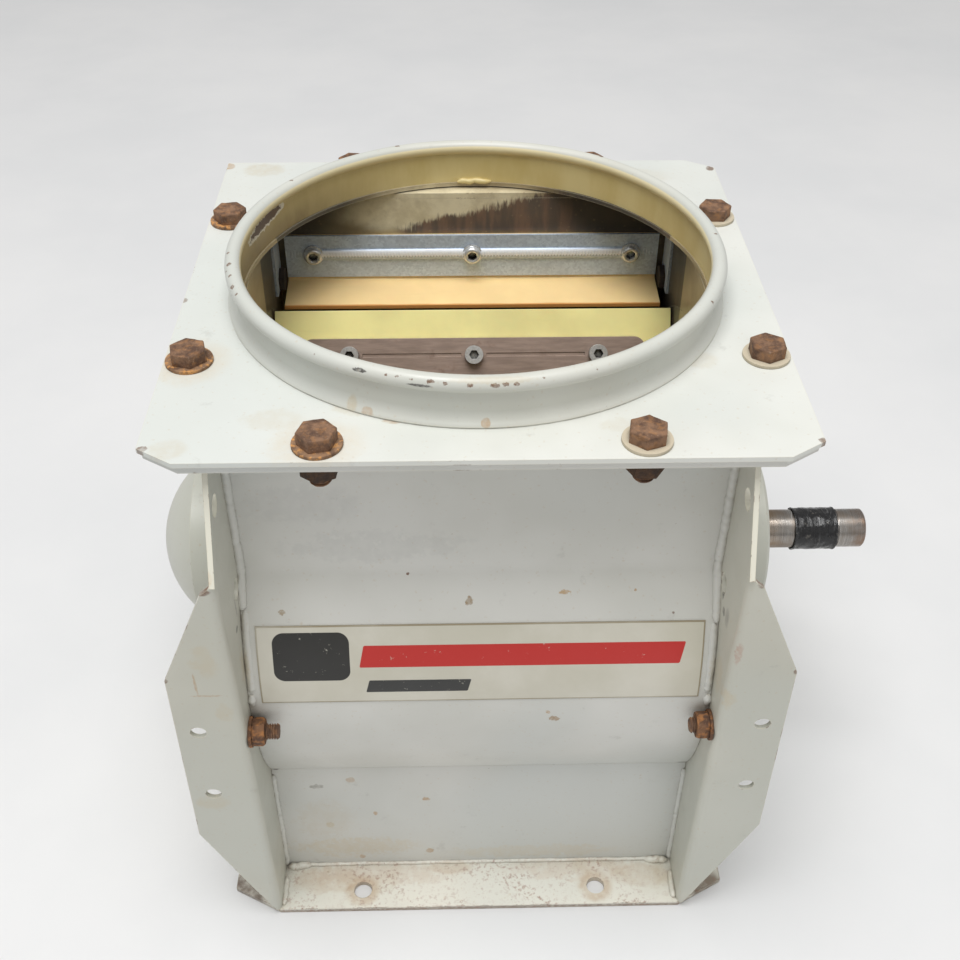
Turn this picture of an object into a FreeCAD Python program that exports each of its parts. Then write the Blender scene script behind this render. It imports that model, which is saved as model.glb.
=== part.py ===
import FreeCAD, Part
import math
import os

import Sketcher

# A rotary airlock valve: a welded sheet-metal housing with a bladed rotor on a horizontal shaft.
# X runs along the shaft towards its drive end, Y to the rear and Z up. The origin is the centre of
# the underside of the outlet flange. Lengths are in millimetres and angles in degrees.

DIMENSIONS = {
    # Square flanges and the heights of the stack
    "flange_side": 355, "base_thick": 4, "body_flange_top": 410, "body_flange_thick": 4,
    "body_flange_side": 351, "gasket_thick": 1, "gasket_side": 347, "inlet_thick": 3,
    "inlet_clip_x": 20, "inlet_clip_y": 13, "base_clip_x": 34, "base_clip_y": 18,
    "outlet_ledge_x": 3, "outlet_ledge_y": 2, "hole_near": 85, "hole_far": 163, "flange_hole_radius": 6.5,
    # Inlet collar with its rolled bead
    "collar_radius": 144, "collar_ledge": 1, "collar_neck": 146.4, "collar_foot": 151.3,
    "collar_skirt": 8.4, "skirt_sweep": 15, "collar_hem": 1.2, "collar_height": 30, "bead_radius": 4.8,
    "bead_centre": 146,
    # Housing sheets
    "axis_height": 207, "sheet": 3, "shell_sheet": 4, "inner_half": 142.5, "barrel_radius": 166.5,
    "throat_outer": 137.5, "outlet_outer": 141, "throat_bend": 14,
    "edge_base": 179.2, "edge_top": 194, "edge_rise": 338, "bend_radius": 6, "bend_leg": 8,
    "plate_top_half": 164,
    "wing_low": 186, "wing_high": 182, "wing_low_rise": 103, "wing_high_rise": 262, "wing_shoulder": 151.5,
    "shoulder_drop": 5,
    "wing_foot": 3, "wing_hole_x": 170, "wing_hole_z": 153, "wing_hole_pitch": 64, "wing_hole_radius": 5,
    "lug_hole_y": 164.5, "lug_hole_z": 375, "side_hole_radius": 6.5,
    # Round end covers that let the rotor out, and the bearing housings on them
    "cover_radius": 171, "cover_thick": 5, "spigot_gap": 0.3, "cover_bolt_circle": 176.2,
    "cover_bolt_drop": 5, "bolt_hole_radius": 5.5, "spare_hole_angle": 31.5, "ear_radius": 8.5,
    "ear_flat": 182, "ear_web": 20, "cover_bore": 20,
    "housing_radius": 58, "housing_end": 201.5, "cap_side_end": 195, "housing_chamfer": 2,
    "grease_bore": 45,
    "bearing_near": 171, "bearing_far": 187, "bearing_outer": 31, "bearing_inner": 15,
    "bearing_ball": 4.75, "bearing_land": 2.6, "bearing_shoulder": 4, "ball_count": 9, "ball_gap": 0.1,
    "seal_radius": 21, "seal_width": 7, "seal_gap": 0.1, "seal_lip": 2, "relief_bore": 18,
    "cap_seat": 54, "cap_bore_depth": 7, "cap_tube": 5, "cap_gap": 0.2, "dome_radius": 71,
    "dome_apex": 222.8, "cap_sheet": 2,
    # Rotor
    "shaft_radius": 17.5, "drive_radius": 14, "drive_shoulder": 206, "shaft_left": 193,
    "shaft_right": 283, "shaft_chamfer": 1.2, "groove_low": 0.5, "groove_run": 1.2,
    "drum_radius": 45, "drum_wall": 4, "drum_half": 138, "drum_disc": 6, "vane_sheet": 4,
    "vane_reach": 138.5, "blade_half": 141, "blade_root": 101,
    "blade_tip": 161, "blade_thick": 5, "slot_half": 4.6, "slot_spare": 0.8, "strip_half": 122,
    "strip_root": 111, "strip_width": 30, "strip_thick": 4, "strip_corner": 8, "screw_reach": 129,
    "screw_pitch": 88, "groove_width": 2.4, "groove_depth": 0.8, "groove_inset": 9, "first_vane": 57,
    "vane_count": 8,
    "key_start": 233, "key_length": 26, "key_width": 8, "key_height": 7, "key_depth": 4,
    "tape_start": 231, "tape_end": 262, "tape_thick": 1.5, "tape_under": 1,
    # Scraper: a flap clamped on the rear throat wall, and its cheeks
    "scraper_half": 135.8, "clamp_low": 346.5, "clamp_high": 379.5, "clamp_thick": 2, "flap_thick": 3,
    "flap_bend": 3, "flap_lift": 0.2, "flap_short": 1, "flap_edge_y": 97.5, "flap_edge_z": 340.4,
    "rib_radius": 3.2, "rib_proud": 2.2,
    "scraper_screw_z": 365, "scraper_screw_x": 115.5, "scraper_hole_radius": 4.5, "rib_gap": 9,
    "cheek_front": 106, "cheek_low": 343, "cheek_high": 388, "cheek_thick": 2,
    "cheek_bolt_y": 121, "cheek_bolt_z": 349,
    # M8 screws of the rotor and the scraper
    "screw_radius": 4, "screw_head": 6.5, "screw_head_height": 7, "screw_socket": 6, "screw_length": 21.5,
    "low_head_height": 4.4, "low_socket": 5, "low_screw_length": 18, "screw_nut": 13,
    "screw_nut_height": 6.5, "screw_washer": 8.5, "screw_washer_bore": 4.3, "screw_washer_thick": 1.6,
    # M10 bolts of the end covers and the cheeks
    "cover_bolt_radius": 5, "cover_bolt_head": 16.2, "cover_head_height": 6.4, "cover_grip_left": 26.2,
    "cover_grip_right": 21.5, "cover_nut": 17, "cover_nut_height": 8.4, "cover_washer": 9.7,
    "cover_washer_bore": 5.2, "cheek_bolt_head": 16, "cheek_head_height": 4, "cheek_grip": 19,
    # M12 bolts of the inlet
    "flange_bolt_radius": 6, "flange_bolt_head": 19, "flange_head_height": 7.5, "flange_crown": 9,
    "flange_grip": 26, "flange_nut_height": 9.5, "flange_washer": 13.5, "flange_washer_bore": 6.6,
    "washer_thick": 2, "thread_gap": 0.05,
}

# How far each inlet bolt was turned when it was tightened, in degrees
INLET_BOLT_TURNS = (12, -8, 21, 4, -17, 9, 28, -3)
COVER_NUT_TURN = 11
# How far a cutting tool runs past the faces that it cuts
OVERRUN = 10


class Size:
    """A length that knows both its number and the sheet formula that it is bound to."""

    def __init__(self, number, formula):
        self.number = float(number)
        self.formula = formula

    def __add__(self, other):
        other = as_size(other)
        return Size(self.number + other.number, f"({self.formula} + {other.formula})")

    def __sub__(self, other):
        other = as_size(other)
        return Size(self.number - other.number, f"({self.formula} - {other.formula})")

    def __mul__(self, other):
        other = as_size(other)
        return Size(self.number * other.number, f"({self.formula} * {other.formula})")

    def __truediv__(self, other):
        other = as_size(other)
        return Size(self.number / other.number, f"({self.formula} / {other.formula})")

    def __rsub__(self, other):
        return as_size(other) - self

    def __neg__(self):
        return Size(-self.number, f"(0 - {self.formula})")

    __radd__ = __add__
    __rmul__ = __mul__


def as_size(value):
    """Plain numbers join a formula as they are."""
    return value if isinstance(value, Size) else Size(value, repr(float(value)))


def root(size):
    return Size(math.sqrt(size.number), f"sqrt({size.formula})")


def cosine(angle):
    return Size(math.cos(math.radians(angle.number)), f"cos({angle.formula} * 1deg)")


def sine(angle):
    return Size(math.sin(math.radians(angle.number)), f"sin({angle.formula} * 1deg)")


class Dimensions:
    """The driving dimensions, each one a bound Size: dim.sheet, dim.drum_radius and so on."""

    def __init__(self, document, table):
        sheet = document.addObject("Spreadsheet::Sheet", "dims")
        for row, (alias, number) in enumerate(table.items(), start=1):
            sheet.set(f"A{row}", alias)
            sheet.set(f"B{row}", str(number))
            sheet.setAlias(f"B{row}", alias)
            setattr(self, alias, Size(number, f"dims.{alias}"))


doc = FreeCAD.newDocument("rotary_valve")
dim = Dimensions(doc, DIMENSIONS)
doc.recompute()

X_AXIS = FreeCAD.Vector(1, 0, 0)
Y_AXIS = FreeCAD.Vector(0, 1, 0)
Z_AXIS = FreeCAD.Vector(0, 0, 1)
ALONG_X = FreeCAD.Rotation(Y_AXIS, 90)
ALONG_Y = FreeCAD.Rotation(X_AXIS, -90)
NO_TURN = FreeCAD.Rotation()
SIDES = {"left": -1, "right": 1}
ENDS = {"front": -1, "rear": 1}
SCREW_STATIONS = (-1, 0, 1)
parts = {}


# ---------------------------------------------------------------- building blocks

def bind(item, name, size):
    """Set a property to a number, and bind it to the sheet where the number comes from there."""
    if isinstance(size, Size):
        item.setExpression(name, size.formula)
    else:
        setattr(item, name, size)


def place(item, at=(0, 0, 0), turn=NO_TURN):
    """Put an object at a point whose coordinates may be bound to the sheet."""
    item.Placement = FreeCAD.Placement(FreeCAD.Vector(*(as_size(value).number for value in at)), turn)
    for letter, value in zip("xyz", at):
        if isinstance(value, Size):
            item.setExpression(f"Placement.Base.{letter}", value.formula)
    return item


def keep(node, item):
    """Name a finished sub-part, which makes it one of the exported pieces."""
    item.Label = node
    parts[node] = item
    return item


def box(name, lengths, at, turn=NO_TURN):
    item = doc.addObject("Part::Box", name)
    for side, size in zip(("Length", "Width", "Height"), lengths):
        bind(item, side, size)
    return place(item, at, turn)


def cylinder(name, radius, height, at=(0, 0, 0), turn=NO_TURN):
    item = doc.addObject("Part::Cylinder", name)
    bind(item, "Radius", radius)
    bind(item, "Height", height)
    return place(item, at, turn)


def hexagon(name, across_flats, height, at=(0, 0, 0), turn=NO_TURN):
    item = doc.addObject("Part::Prism", name)
    item.Polygon = 6
    bind(item, "Circumradius", as_size(across_flats) / math.sqrt(3))
    bind(item, "Height", height)
    return place(item, at, turn)


def fuse(name, items):
    """The union of several objects."""
    item = doc.addObject("Part::MultiFuse", name)
    item.Shapes = list(items)
    item.Refine = True
    return item


def cut(name, base, tools):
    """An object less one or more others."""
    tools = list(tools)
    item = doc.addObject("Part::Cut", name)
    item.Base = base
    item.Tool = tools[0] if len(tools) == 1 else fuse(name + "_tools", tools)
    item.Refine = True
    return item


def common(name, base, tool):
    """What two objects share."""
    item = doc.addObject("Part::Common", name)
    item.Base = base
    item.Tool = tool
    return item


def mirrored(name, source, normal):
    """A twin of an object on the other side of a plane through the origin."""
    item = doc.addObject("Part::Mirroring", name)
    item.Source = source
    item.Normal = normal
    return item


def copies(node, source, placements):
    """One node of equal separate solids, such as the bolts of a flange."""
    doc.recompute()
    item = doc.addObject("Part::Feature", node)
    item.Shape = Part.makeCompound([source.Shape.transformed(spot.toMatrix()) for spot in placements])
    return keep(node, item)


def spot(x, y, z, turn=NO_TURN):
    """A placement from plain numbers or sizes."""
    return FreeCAD.Placement(FreeCAD.Vector(*(as_size(value).number for value in (x, y, z))), turn)


def new_body(name):
    return doc.addObject("PartDesign::Body", name)


def new_sketch(body, plane, offset=None):
    """An empty sketch on one of the body's origin planes, moved along its normal by the offset."""
    sketch = body.newObject("Sketcher::SketchObject", body.Name + "_sketch")
    origin_plane = next(item for item in body.Origin.OriginFeatures if item.Role == plane)
    sketch.AttachmentSupport = [(origin_plane, "")]
    sketch.MapMode = "FlatFace"
    if offset is not None:
        bind(sketch, "AttachmentOffset.Base.z", as_size(offset))
    return sketch


def pin_point(sketch, curve, end, u, v):
    """Fix one end of a curve by its two distances from the sketch's origin."""
    for kind, axis, size in (("DistanceX", -2, as_size(u)), ("DistanceY", -1, as_size(v))):
        if size.number == 0:
            sketch.addConstraint(Sketcher.Constraint("PointOnObject", curve, end, axis))
        else:
            index = sketch.addConstraint(Sketcher.Constraint(kind, -1, 1, curve, end, size.number))
            sketch.setExpression(f"Constraints[{index}]", size.formula)


def draw_outline(sketch, points, arcs=None):
    """A closed outline through (u, v) points. arcs maps a point's number to the radius of the arc
    that leaves it, positive where the arc turns to the left."""
    arcs = arcs or {}
    numbers = [FreeCAD.Vector(as_size(u).number, as_size(v).number, 0) for u, v in points]
    ends = []
    for number, start in enumerate(numbers):
        stop = numbers[(number + 1) % len(numbers)]
        if number not in arcs:
            curve = sketch.addGeometry(Part.LineSegment(start, stop), False)
            ends.append((curve, 1, 2))
            continue
        radius = arcs[number].number
        chord = stop - start
        half = chord.Length / 2
        left = FreeCAD.Vector(-chord.y, chord.x, 0).normalize()
        reach = math.sqrt(max(radius * radius - half * half, 0))
        centre = (start + stop) / 2 + left * math.copysign(reach, radius)
        angles = [math.atan2(point.y - centre.y, point.x - centre.x) for point in (start, stop)]
        if radius < 0:
            angles.reverse()
        circle = Part.Circle(centre, Z_AXIS, abs(radius))
        curve = sketch.addGeometry(Part.ArcOfCircle(circle, *angles), False)
        ends.append((curve, 1, 2) if radius > 0 else (curve, 2, 1))
    for number, (u, v) in enumerate(points):
        curve, first, _ = ends[number]
        before, _, last = ends[number - 1]
        sketch.addConstraint(Sketcher.Constraint("Coincident", before, last, curve, first))
        pin_point(sketch, curve, first, u, v)
    for number, radius in arcs.items():
        curve = ends[number][0]
        index = sketch.addConstraint(Sketcher.Constraint("Radius", curve, abs(radius.number)))
        formula = radius.formula if radius.number > 0 else (-radius).formula
        sketch.setExpression(f"Constraints[{index}]", formula)
    return sketch


def draw_circle(sketch, u, v, radius):
    """A circle in a sketch, with its centre and radius bound."""
    centre = FreeCAD.Vector(as_size(u).number, as_size(v).number, 0)
    curve = sketch.addGeometry(Part.Circle(centre, Z_AXIS, radius.number), False)
    pin_point(sketch, curve, 3, u, v)
    index = sketch.addConstraint(Sketcher.Constraint("Radius", curve, radius.number))
    sketch.setExpression(f"Constraints[{index}]", radius.formula)


def pad(body, sketch, length, both_ways=False):
    feature = body.newObject("PartDesign::Pad", body.Name + "_pad")
    feature.Profile = sketch
    bind(feature, "Length", length)
    feature.Midplane = both_ways
    return feature


def pocket_through(body, sketch):
    """Cut a sketch's outlines through the body, and make sure that they cut something."""
    doc.recompute()
    before = body.Shape.Volume
    feature = body.newObject("PartDesign::Pocket", body.Name + "_pocket")
    feature.Profile = sketch
    feature.Type = "ThroughAll"
    feature.Midplane = True
    doc.recompute()
    if body.Shape.Volume > before - 1:
        raise RuntimeError(f"{body.Name}: the pocket cuts nothing")
    return feature


def turned(name, points, arcs=None):
    """A body of revolution about its own X axis, from a half profile of (along, radius) points."""
    body = new_body(name)
    sketch = draw_outline(new_sketch(body, "XY_Plane"), points, arcs)
    feature = body.newObject("PartDesign::Revolution", name + "_turn")
    feature.Profile = sketch
    feature.ReferenceAxis = (sketch, ["H_Axis"])
    feature.Angle = 360
    return body


def washer(name, radius, bore, thickness):
    """A washer that lies on the plane Z = 0."""
    return cut(name, cylinder(name + "_disc", radius, thickness),
               [cylinder(name + "_bore", bore, thickness + OVERRUN, (0, 0, -OVERRUN / 2))])


def hexagon_nut(name, across_flats, height, bolt_radius):
    """A nut that stands on the plane Z = 0, with its bore a little wider than the bolt."""
    return cut(name, hexagon(name + "_hexagon", across_flats, height),
               [cylinder(name + "_bore", bolt_radius + dim.thread_gap, height + OVERRUN,
                         (0, 0, -OVERRUN / 2))])


def hexagon_bolt(name, head, shank_radius, length):
    """A bolt from its head, which stands on the plane Z = 0, and a shank below it."""
    return fuse(name, [head, cylinder(name + "_shank", shank_radius, length, (0, 0, -length))])


def socket_screw(name, head_height, length, socket):
    """An M8 socket screw whose head stands on the plane Z = 0 with its shank below."""
    head = cylinder(name + "_head", dim.screw_head, head_height)
    shank = cylinder(name + "_shank", dim.screw_radius, length, (0, 0, -length))
    recess = hexagon(name + "_socket", socket, head_height, (0, 0, head_height / 2))
    return cut(name, fuse(name + "_solid", [head, shank]), [recess])


AXIS_AT = (0, 0, dim.axis_height)
UPSIDE_DOWN = FreeCAD.Rotation(X_AXIS, 180)
HALF_TURN = FreeCAD.Rotation(Z_AXIS, 180)
FLANGE_HOLES = [
    (sign_x * first, sign_y * second)
    for first, second in ((dim.hole_near, dim.hole_far), (dim.hole_far, dim.hole_near))
    for sign_x in (-1, 1)
    for sign_y in (-1, 1)
]


# ---------------------------------------------------------------- flanges and collar

def clipped_square(side, clip_x, clip_y, square_corner=False):
    """The outline of a square sheet with clipped corners, from its front left corner round. The
    rear left corner may be left square."""
    half = side / 2
    points = [(-half, clip_y - half), (clip_x - half, -half), (half - clip_x, -half), (half, clip_y - half),
              (half, half - clip_y), (half - clip_x, half)]
    if square_corner:
        return points + [(-half, half)]
    return points + [(clip_x - half, half), (-half, half - clip_y)]


def flange(node, outline, thickness, bottom, opening_radius=None, opening=None):
    """A flat flange with a round or rectangular opening and the eight bolt holes."""
    body = new_body(node)
    pad(body, draw_outline(new_sketch(body, "XY_Plane", bottom), outline), thickness)
    cutter = new_sketch(body, "XY_Plane", bottom)
    if opening_radius is not None:
        draw_circle(cutter, 0, 0, opening_radius)
    else:
        half_x, half_y = opening
        draw_outline(cutter, [(-half_x, -half_y), (half_x, -half_y), (half_x, half_y), (-half_x, half_y)])
    for x, y in FLANGE_HOLES:
        draw_circle(cutter, x, y, dim.flange_hole_radius)
    pocket_through(body, cutter)
    return keep(node, body)


gasket_bottom = dim.body_flange_top
inlet_bottom = gasket_bottom + dim.gasket_thick
inlet_top = inlet_bottom + dim.inlet_thick
flange_bottom = dim.body_flange_top - dim.body_flange_thick
throat_inner = dim.throat_outer - dim.shell_sheet
outlet_inner = dim.outlet_outer - dim.shell_sheet
plate_outer = dim.inner_half + dim.sheet
front_of_flap = throat_inner - dim.flap_thick

flange("base_plate", clipped_square(dim.flange_side, dim.base_clip_x, dim.base_clip_y), dim.base_thick, 0,
       opening=(dim.inner_half - dim.outlet_ledge_x, outlet_inner - dim.outlet_ledge_y))
flange("body_flange", clipped_square(dim.body_flange_side, dim.inlet_clip_x, dim.inlet_clip_y),
       dim.body_flange_thick, flange_bottom, opening=(dim.inner_half, throat_inner))
flange("inlet_gasket", clipped_square(dim.gasket_side, dim.inlet_clip_x, dim.inlet_clip_y),
       dim.gasket_thick, gasket_bottom, opening_radius=dim.collar_neck)
flange("inlet_plate", clipped_square(dim.flange_side, dim.inlet_clip_x, dim.inlet_clip_y, True),
       dim.inlet_thick, inlet_bottom, opening_radius=dim.collar_radius - dim.collar_ledge)


def make_collar():
    """The pressed duct collar: a flared foot, a straight neck and a bead rolled over at the top."""
    body = new_body("inlet_collar")
    bead = dim.bead_radius
    crown = dim.collar_height - bead
    outward = dim.collar_neck - dim.bead_centre
    inward = dim.bead_centre - dim.collar_radius
    outline = [
        (dim.collar_radius, 0),
        (dim.collar_foot, 0),
        (dim.collar_foot, dim.collar_hem),
        (dim.collar_neck, dim.collar_skirt),
        (dim.collar_neck, crown - root(bead * bead - outward * outward)),
        (dim.bead_centre + bead, crown),
        (dim.bead_centre, dim.collar_height),
        (dim.bead_centre - bead, crown),
        (dim.collar_radius, crown - root(bead * bead - inward * inward)),
    ]
    arcs = {2: -dim.skirt_sweep, 4: bead, 5: bead, 6: bead, 7: bead}
    sketch = draw_outline(new_sketch(body, "XZ_Plane"), outline, arcs)
    feature = body.newObject("PartDesign::Revolution", "inlet_collar_turn")
    feature.Profile = sketch
    feature.ReferenceAxis = (sketch, ["V_Axis"])
    feature.Angle = 360
    place(body, (0, 0, inlet_top))
    return keep("inlet_collar", body)


make_collar()


# ---------------------------------------------------------------- housing sheets

def make_shell():
    """The front throat wall and barrel, one rolled sheet: an upright wall, a concave bend and the
    round barrel down to the outlet. The rear one is its twin."""
    outer = dim.barrel_radius
    inner = outer - dim.shell_sheet
    bend = dim.throat_bend
    # The bend touches the wall's outer face and the barrel from outside
    centre_y = dim.throat_outer + bend
    centre_rise = root((outer + bend) * (outer + bend) - centre_y * centre_y)
    touch = outer / (outer + bend)
    foot_rise = root(outer * outer - dim.outlet_outer * dim.outlet_outer)
    slim = inner / outer
    axis = dim.axis_height
    corner_rise = root(inner * inner - throat_inner * throat_inner)
    outline = [
        (-throat_inner, flange_bottom),
        (-dim.throat_outer, flange_bottom),
        (-dim.throat_outer, axis + centre_rise),
        (-centre_y * touch, axis + centre_rise * touch),
        (-dim.outlet_outer, axis - foot_rise),
        (-dim.outlet_outer * slim, axis - foot_rise * slim),
        (-throat_inner, axis + corner_rise),
    ]
    body = new_body("shell_front_sheet")
    sketch = draw_outline(new_sketch(body, "YZ_Plane"), outline, {2: -bend, 3: outer, 5: -inner})
    pad(body, sketch, dim.inner_half * 2, both_ways=True)
    return keep("shell_front", body)


def scraper_holes(name):
    """Cutters for the three screw holes through the throat wall, the flap and the strip."""
    return [cylinder(f"{name}_{station + 1}", dim.scraper_hole_radius, OVERRUN * 4,
                     (station * dim.scraper_screw_x, dim.throat_outer - OVERRUN * 2, dim.scraper_screw_z),
                     ALONG_Y)
            for station in SCREW_STATIONS]


def make_rear_shell(front):
    """The rear sheet is the front one's twin, drilled for the scraper's screws."""
    twin = mirrored("shell_rear_twin", front, Y_AXIS)
    return keep("shell_rear", cut("shell_rear_drilled", twin, scraper_holes("wall_hole")))


def make_outlet_panel():
    """The upright sheet between the barrel's lower edge and the outlet flange."""
    rise = root(dim.barrel_radius * dim.barrel_radius - dim.outlet_outer * dim.outlet_outer)
    height = dim.axis_height - rise - dim.base_thick
    lengths = (dim.inner_half * 2, dim.shell_sheet, height)
    panel = box("outlet_panel_sheet", lengths, (-dim.inner_half, -dim.outlet_outer, dim.base_thick))
    return keep("outlet_panel_front", panel)


make_rear_shell(make_shell())
keep("outlet_panel_rear", mirrored("outlet_panel_rear_twin", make_outlet_panel(), Y_AXIS))

# The end plates' bent edges lean outwards by this angle, from the outlet up
EDGE_DRIFT = DIMENSIONS["edge_top"] - DIMENSIONS["edge_base"]
EDGE_LEAN = math.degrees(math.atan(EDGE_DRIFT / DIMENSIONS["edge_rise"]))


def make_wing():
    """The front flange of the right end plate, bent outwards along a leaning edge. Its own frame has
    Z along the bend line and Y backwards from the flange's front face."""
    bend = dim.bend_radius
    inside = bend - dim.sheet
    corner_x = dim.inner_half + bend
    leg = bend + dim.bend_leg
    blank = dim.wing_low + OVERRUN
    section = [
        (dim.inner_half, leg), (dim.inner_half, bend), (corner_x, 0), (blank, 0),
        (blank, dim.sheet), (corner_x, dim.sheet), (plate_outer, bend), (plate_outer, leg),
    ]
    body = new_body("wing")
    sketch = draw_outline(new_sketch(body, "XY_Plane", -OVERRUN), section, {1: bend, 5: -inside})
    pad(body, sketch, dim.edge_rise + OVERRUN)
    place(body, (0, -dim.edge_base, dim.base_thick), FreeCAD.Rotation(X_AXIS, EDGE_LEAN))
    outline = new_body("wing_outline")
    behind = dim.inner_half - OVERRUN
    edge = [
        (behind, 0), (dim.inner_half + dim.wing_foot, 0), (dim.wing_low, dim.wing_low_rise),
        (dim.wing_high, dim.wing_high_rise), (dim.wing_shoulder, dim.edge_rise - dim.shoulder_drop),
        (plate_outer, dim.edge_rise), (behind, dim.edge_rise),
    ]
    pad(outline, draw_outline(new_sketch(outline, "XZ_Plane"), edge), dim.edge_top + OVERRUN)
    place(outline, (0, 0, dim.base_thick))
    holes = [
        cylinder(f"wing_hole_{number}", dim.wing_hole_radius, OVERRUN * 3,
                 (dim.wing_hole_x, -dim.edge_top - OVERRUN / 2, hole_z), ALONG_Y)
        for number, hole_z in enumerate((dim.wing_hole_z, dim.wing_hole_z + dim.wing_hole_pitch))
    ]
    return cut("wing_drilled", common("wing_trimmed", body, outline), holes)


def make_end_plate():
    """The right end plate: a sheet with a nose above each wing, the round rotor opening, the holes of
    the cover and lifting holes, and a wing along its front and rear edges."""
    front_low = dim.edge_base - dim.bend_leg
    front_high = dim.edge_top - dim.bend_leg
    half = [
        (-front_low, dim.base_thick), (-front_high, dim.base_thick + dim.edge_rise),
        (-dim.edge_top, dim.base_thick + dim.edge_rise), (-dim.plate_top_half, flange_bottom),
    ]
    body = new_body("end_sheet")
    outline = half + [(-y, z) for y, z in reversed(half)]
    pad(body, draw_outline(new_sketch(body, "YZ_Plane", dim.inner_half), outline), dim.sheet)
    cutter = new_sketch(body, "YZ_Plane", dim.inner_half)
    draw_circle(cutter, 0, dim.axis_height, dim.barrel_radius - dim.shell_sheet)
    spare_y = dim.cover_bolt_circle * cosine(dim.spare_hole_angle)
    spare_z = dim.axis_height + dim.cover_bolt_circle * sine(dim.spare_hole_angle)
    bolt_z = dim.axis_height - dim.cover_bolt_drop
    for sign in (-1, 1):
        draw_circle(cutter, sign * spare_y, spare_z, dim.side_hole_radius)
        draw_circle(cutter, sign * dim.lug_hole_y, dim.lug_hole_z, dim.side_hole_radius)
    draw_circle(cutter, dim.cheek_bolt_y, dim.cheek_bolt_z, dim.bolt_hole_radius)
    pocket_through(body, cutter)
    wing = make_wing()
    weldment = fuse("end_weldment", [body, wing, mirrored("rear_wing", wing, Y_AXIS)])
    holes = [cylinder(f"cover_hole_{end}", dim.bolt_hole_radius, OVERRUN * 2,
                      (dim.inner_half - OVERRUN, way * dim.cover_bolt_circle, bolt_z), ALONG_X)
             for end, way in ENDS.items()]
    return keep("end_plate_right", cut("end_plate_drilled", weldment, holes))


keep("end_plate_left", mirrored("end_plate_left_twin", make_end_plate(), X_AXIS))


# ---------------------------------------------------------------- end covers and bearing housings

def make_end_cover():
    """The right cover: a disc with a spigot in the end plate's opening, and a bolt ear at the front
    and the rear."""
    spigot = dim.barrel_radius - dim.shell_sheet - dim.spigot_gap
    bore = dim.cover_bore
    profile = [
        (dim.inner_half, bore), (dim.inner_half, spigot), (plate_outer, spigot),
        (plate_outer, dim.cover_radius), (plate_outer + dim.cover_thick, dim.cover_radius),
        (plate_outer + dim.cover_thick, bore),
    ]
    disc = turned("cover_disc", profile)
    place(disc, AXIS_AT)
    bolt_z = dim.axis_height - dim.cover_bolt_drop
    ears, cutters = [], []
    for end, way in ENDS.items():
        centre_y = way * dim.cover_bolt_circle
        ear = cylinder(f"ear_{end}", dim.ear_radius, dim.cover_thick,
                       (plate_outer, centre_y, bolt_z), ALONG_X)
        web_from = dim.cover_bolt_circle - (dim.ear_web if way > 0 else 0)
        web = box(f"ear_web_{end}", (dim.cover_thick, dim.ear_web, dim.ear_radius * 2),
                  (plate_outer, way * web_from, bolt_z - dim.ear_radius))
        hole = cylinder(f"ear_hole_{end}", dim.bolt_hole_radius, OVERRUN * 2,
                        (plate_outer - OVERRUN / 2, centre_y, bolt_z), ALONG_X)
        trim_from = dim.ear_flat + (0 if way > 0 else OVERRUN)
        trim = box(f"ear_trim_{end}", (OVERRUN * 2, OVERRUN, dim.ear_radius * 4),
                   (plate_outer - OVERRUN / 2, way * trim_from, bolt_z - dim.ear_radius * 2))
        ears += [ear, web]
        cutters += [hole, trim]
    cover = cut("cover_drilled", fuse("cover_blank", [disc] + ears), cutters)
    return keep("end_cover_right", cover)


def make_bearing_housings():
    """The drum on each cover that holds its ball bearing. The drive side has a wall with a shaft
    seal, and the other side is open for a domed cap."""
    start = plate_outer + dim.cover_thick
    end = dim.housing_end
    cap_end = dim.cap_side_end
    skin = dim.housing_radius
    chamfer = dim.housing_chamfer
    shoulder = dim.bearing_outer - dim.bearing_shoulder
    seat = [(dim.bearing_far, dim.bearing_outer), (dim.bearing_near, dim.bearing_outer),
            (dim.bearing_near, dim.grease_bore), (start, dim.grease_bore)]
    seal_floor = end - dim.seal_width
    right = [(start, skin), (end - chamfer, skin), (end, skin - chamfer), (end, dim.seal_radius),
             (seal_floor, dim.seal_radius), (seal_floor, dim.relief_bore),
             (dim.bearing_far, dim.relief_bore)] + seat
    cap_floor = cap_end - dim.cap_bore_depth
    left = [(start, skin), (cap_end, skin), (cap_end, dim.cap_seat), (cap_floor, dim.cap_seat),
            (cap_floor, shoulder), (dim.bearing_far, shoulder)] + seat
    for side, profile in (("right", right), ("left", left)):
        drum = turned(f"housing_drum_{side}", profile)
        place(drum, AXIS_AT, NO_TURN if side == "right" else HALF_TURN)
        keep(f"bearing_housing_{side}", drum)


def make_cap():
    """The pressed dome that closes the left bearing housing, with a spigot inside the drum."""
    radius = dim.dome_radius
    centre = dim.dome_apex - radius
    inner = radius - dim.cap_sheet
    seat = dim.cap_seat - dim.cap_gap
    end = dim.cap_side_end
    rim = root(radius * radius - (end - centre) * (end - centre))
    tube = seat - dim.cap_sheet
    mouth = centre + root(inner * inner - tube * tube)
    outline = [
        (dim.dome_apex, 0), (end, rim), (end, seat), (end - dim.cap_tube, seat),
        (end - dim.cap_tube, tube), (mouth, tube),
        (dim.dome_apex - dim.cap_sheet, 0),
    ]
    body = turned("dome", outline, {0: radius, 5: -inner})
    place(body, AXIS_AT, HALF_TURN)
    return keep("bearing_cap_left", body)


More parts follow.
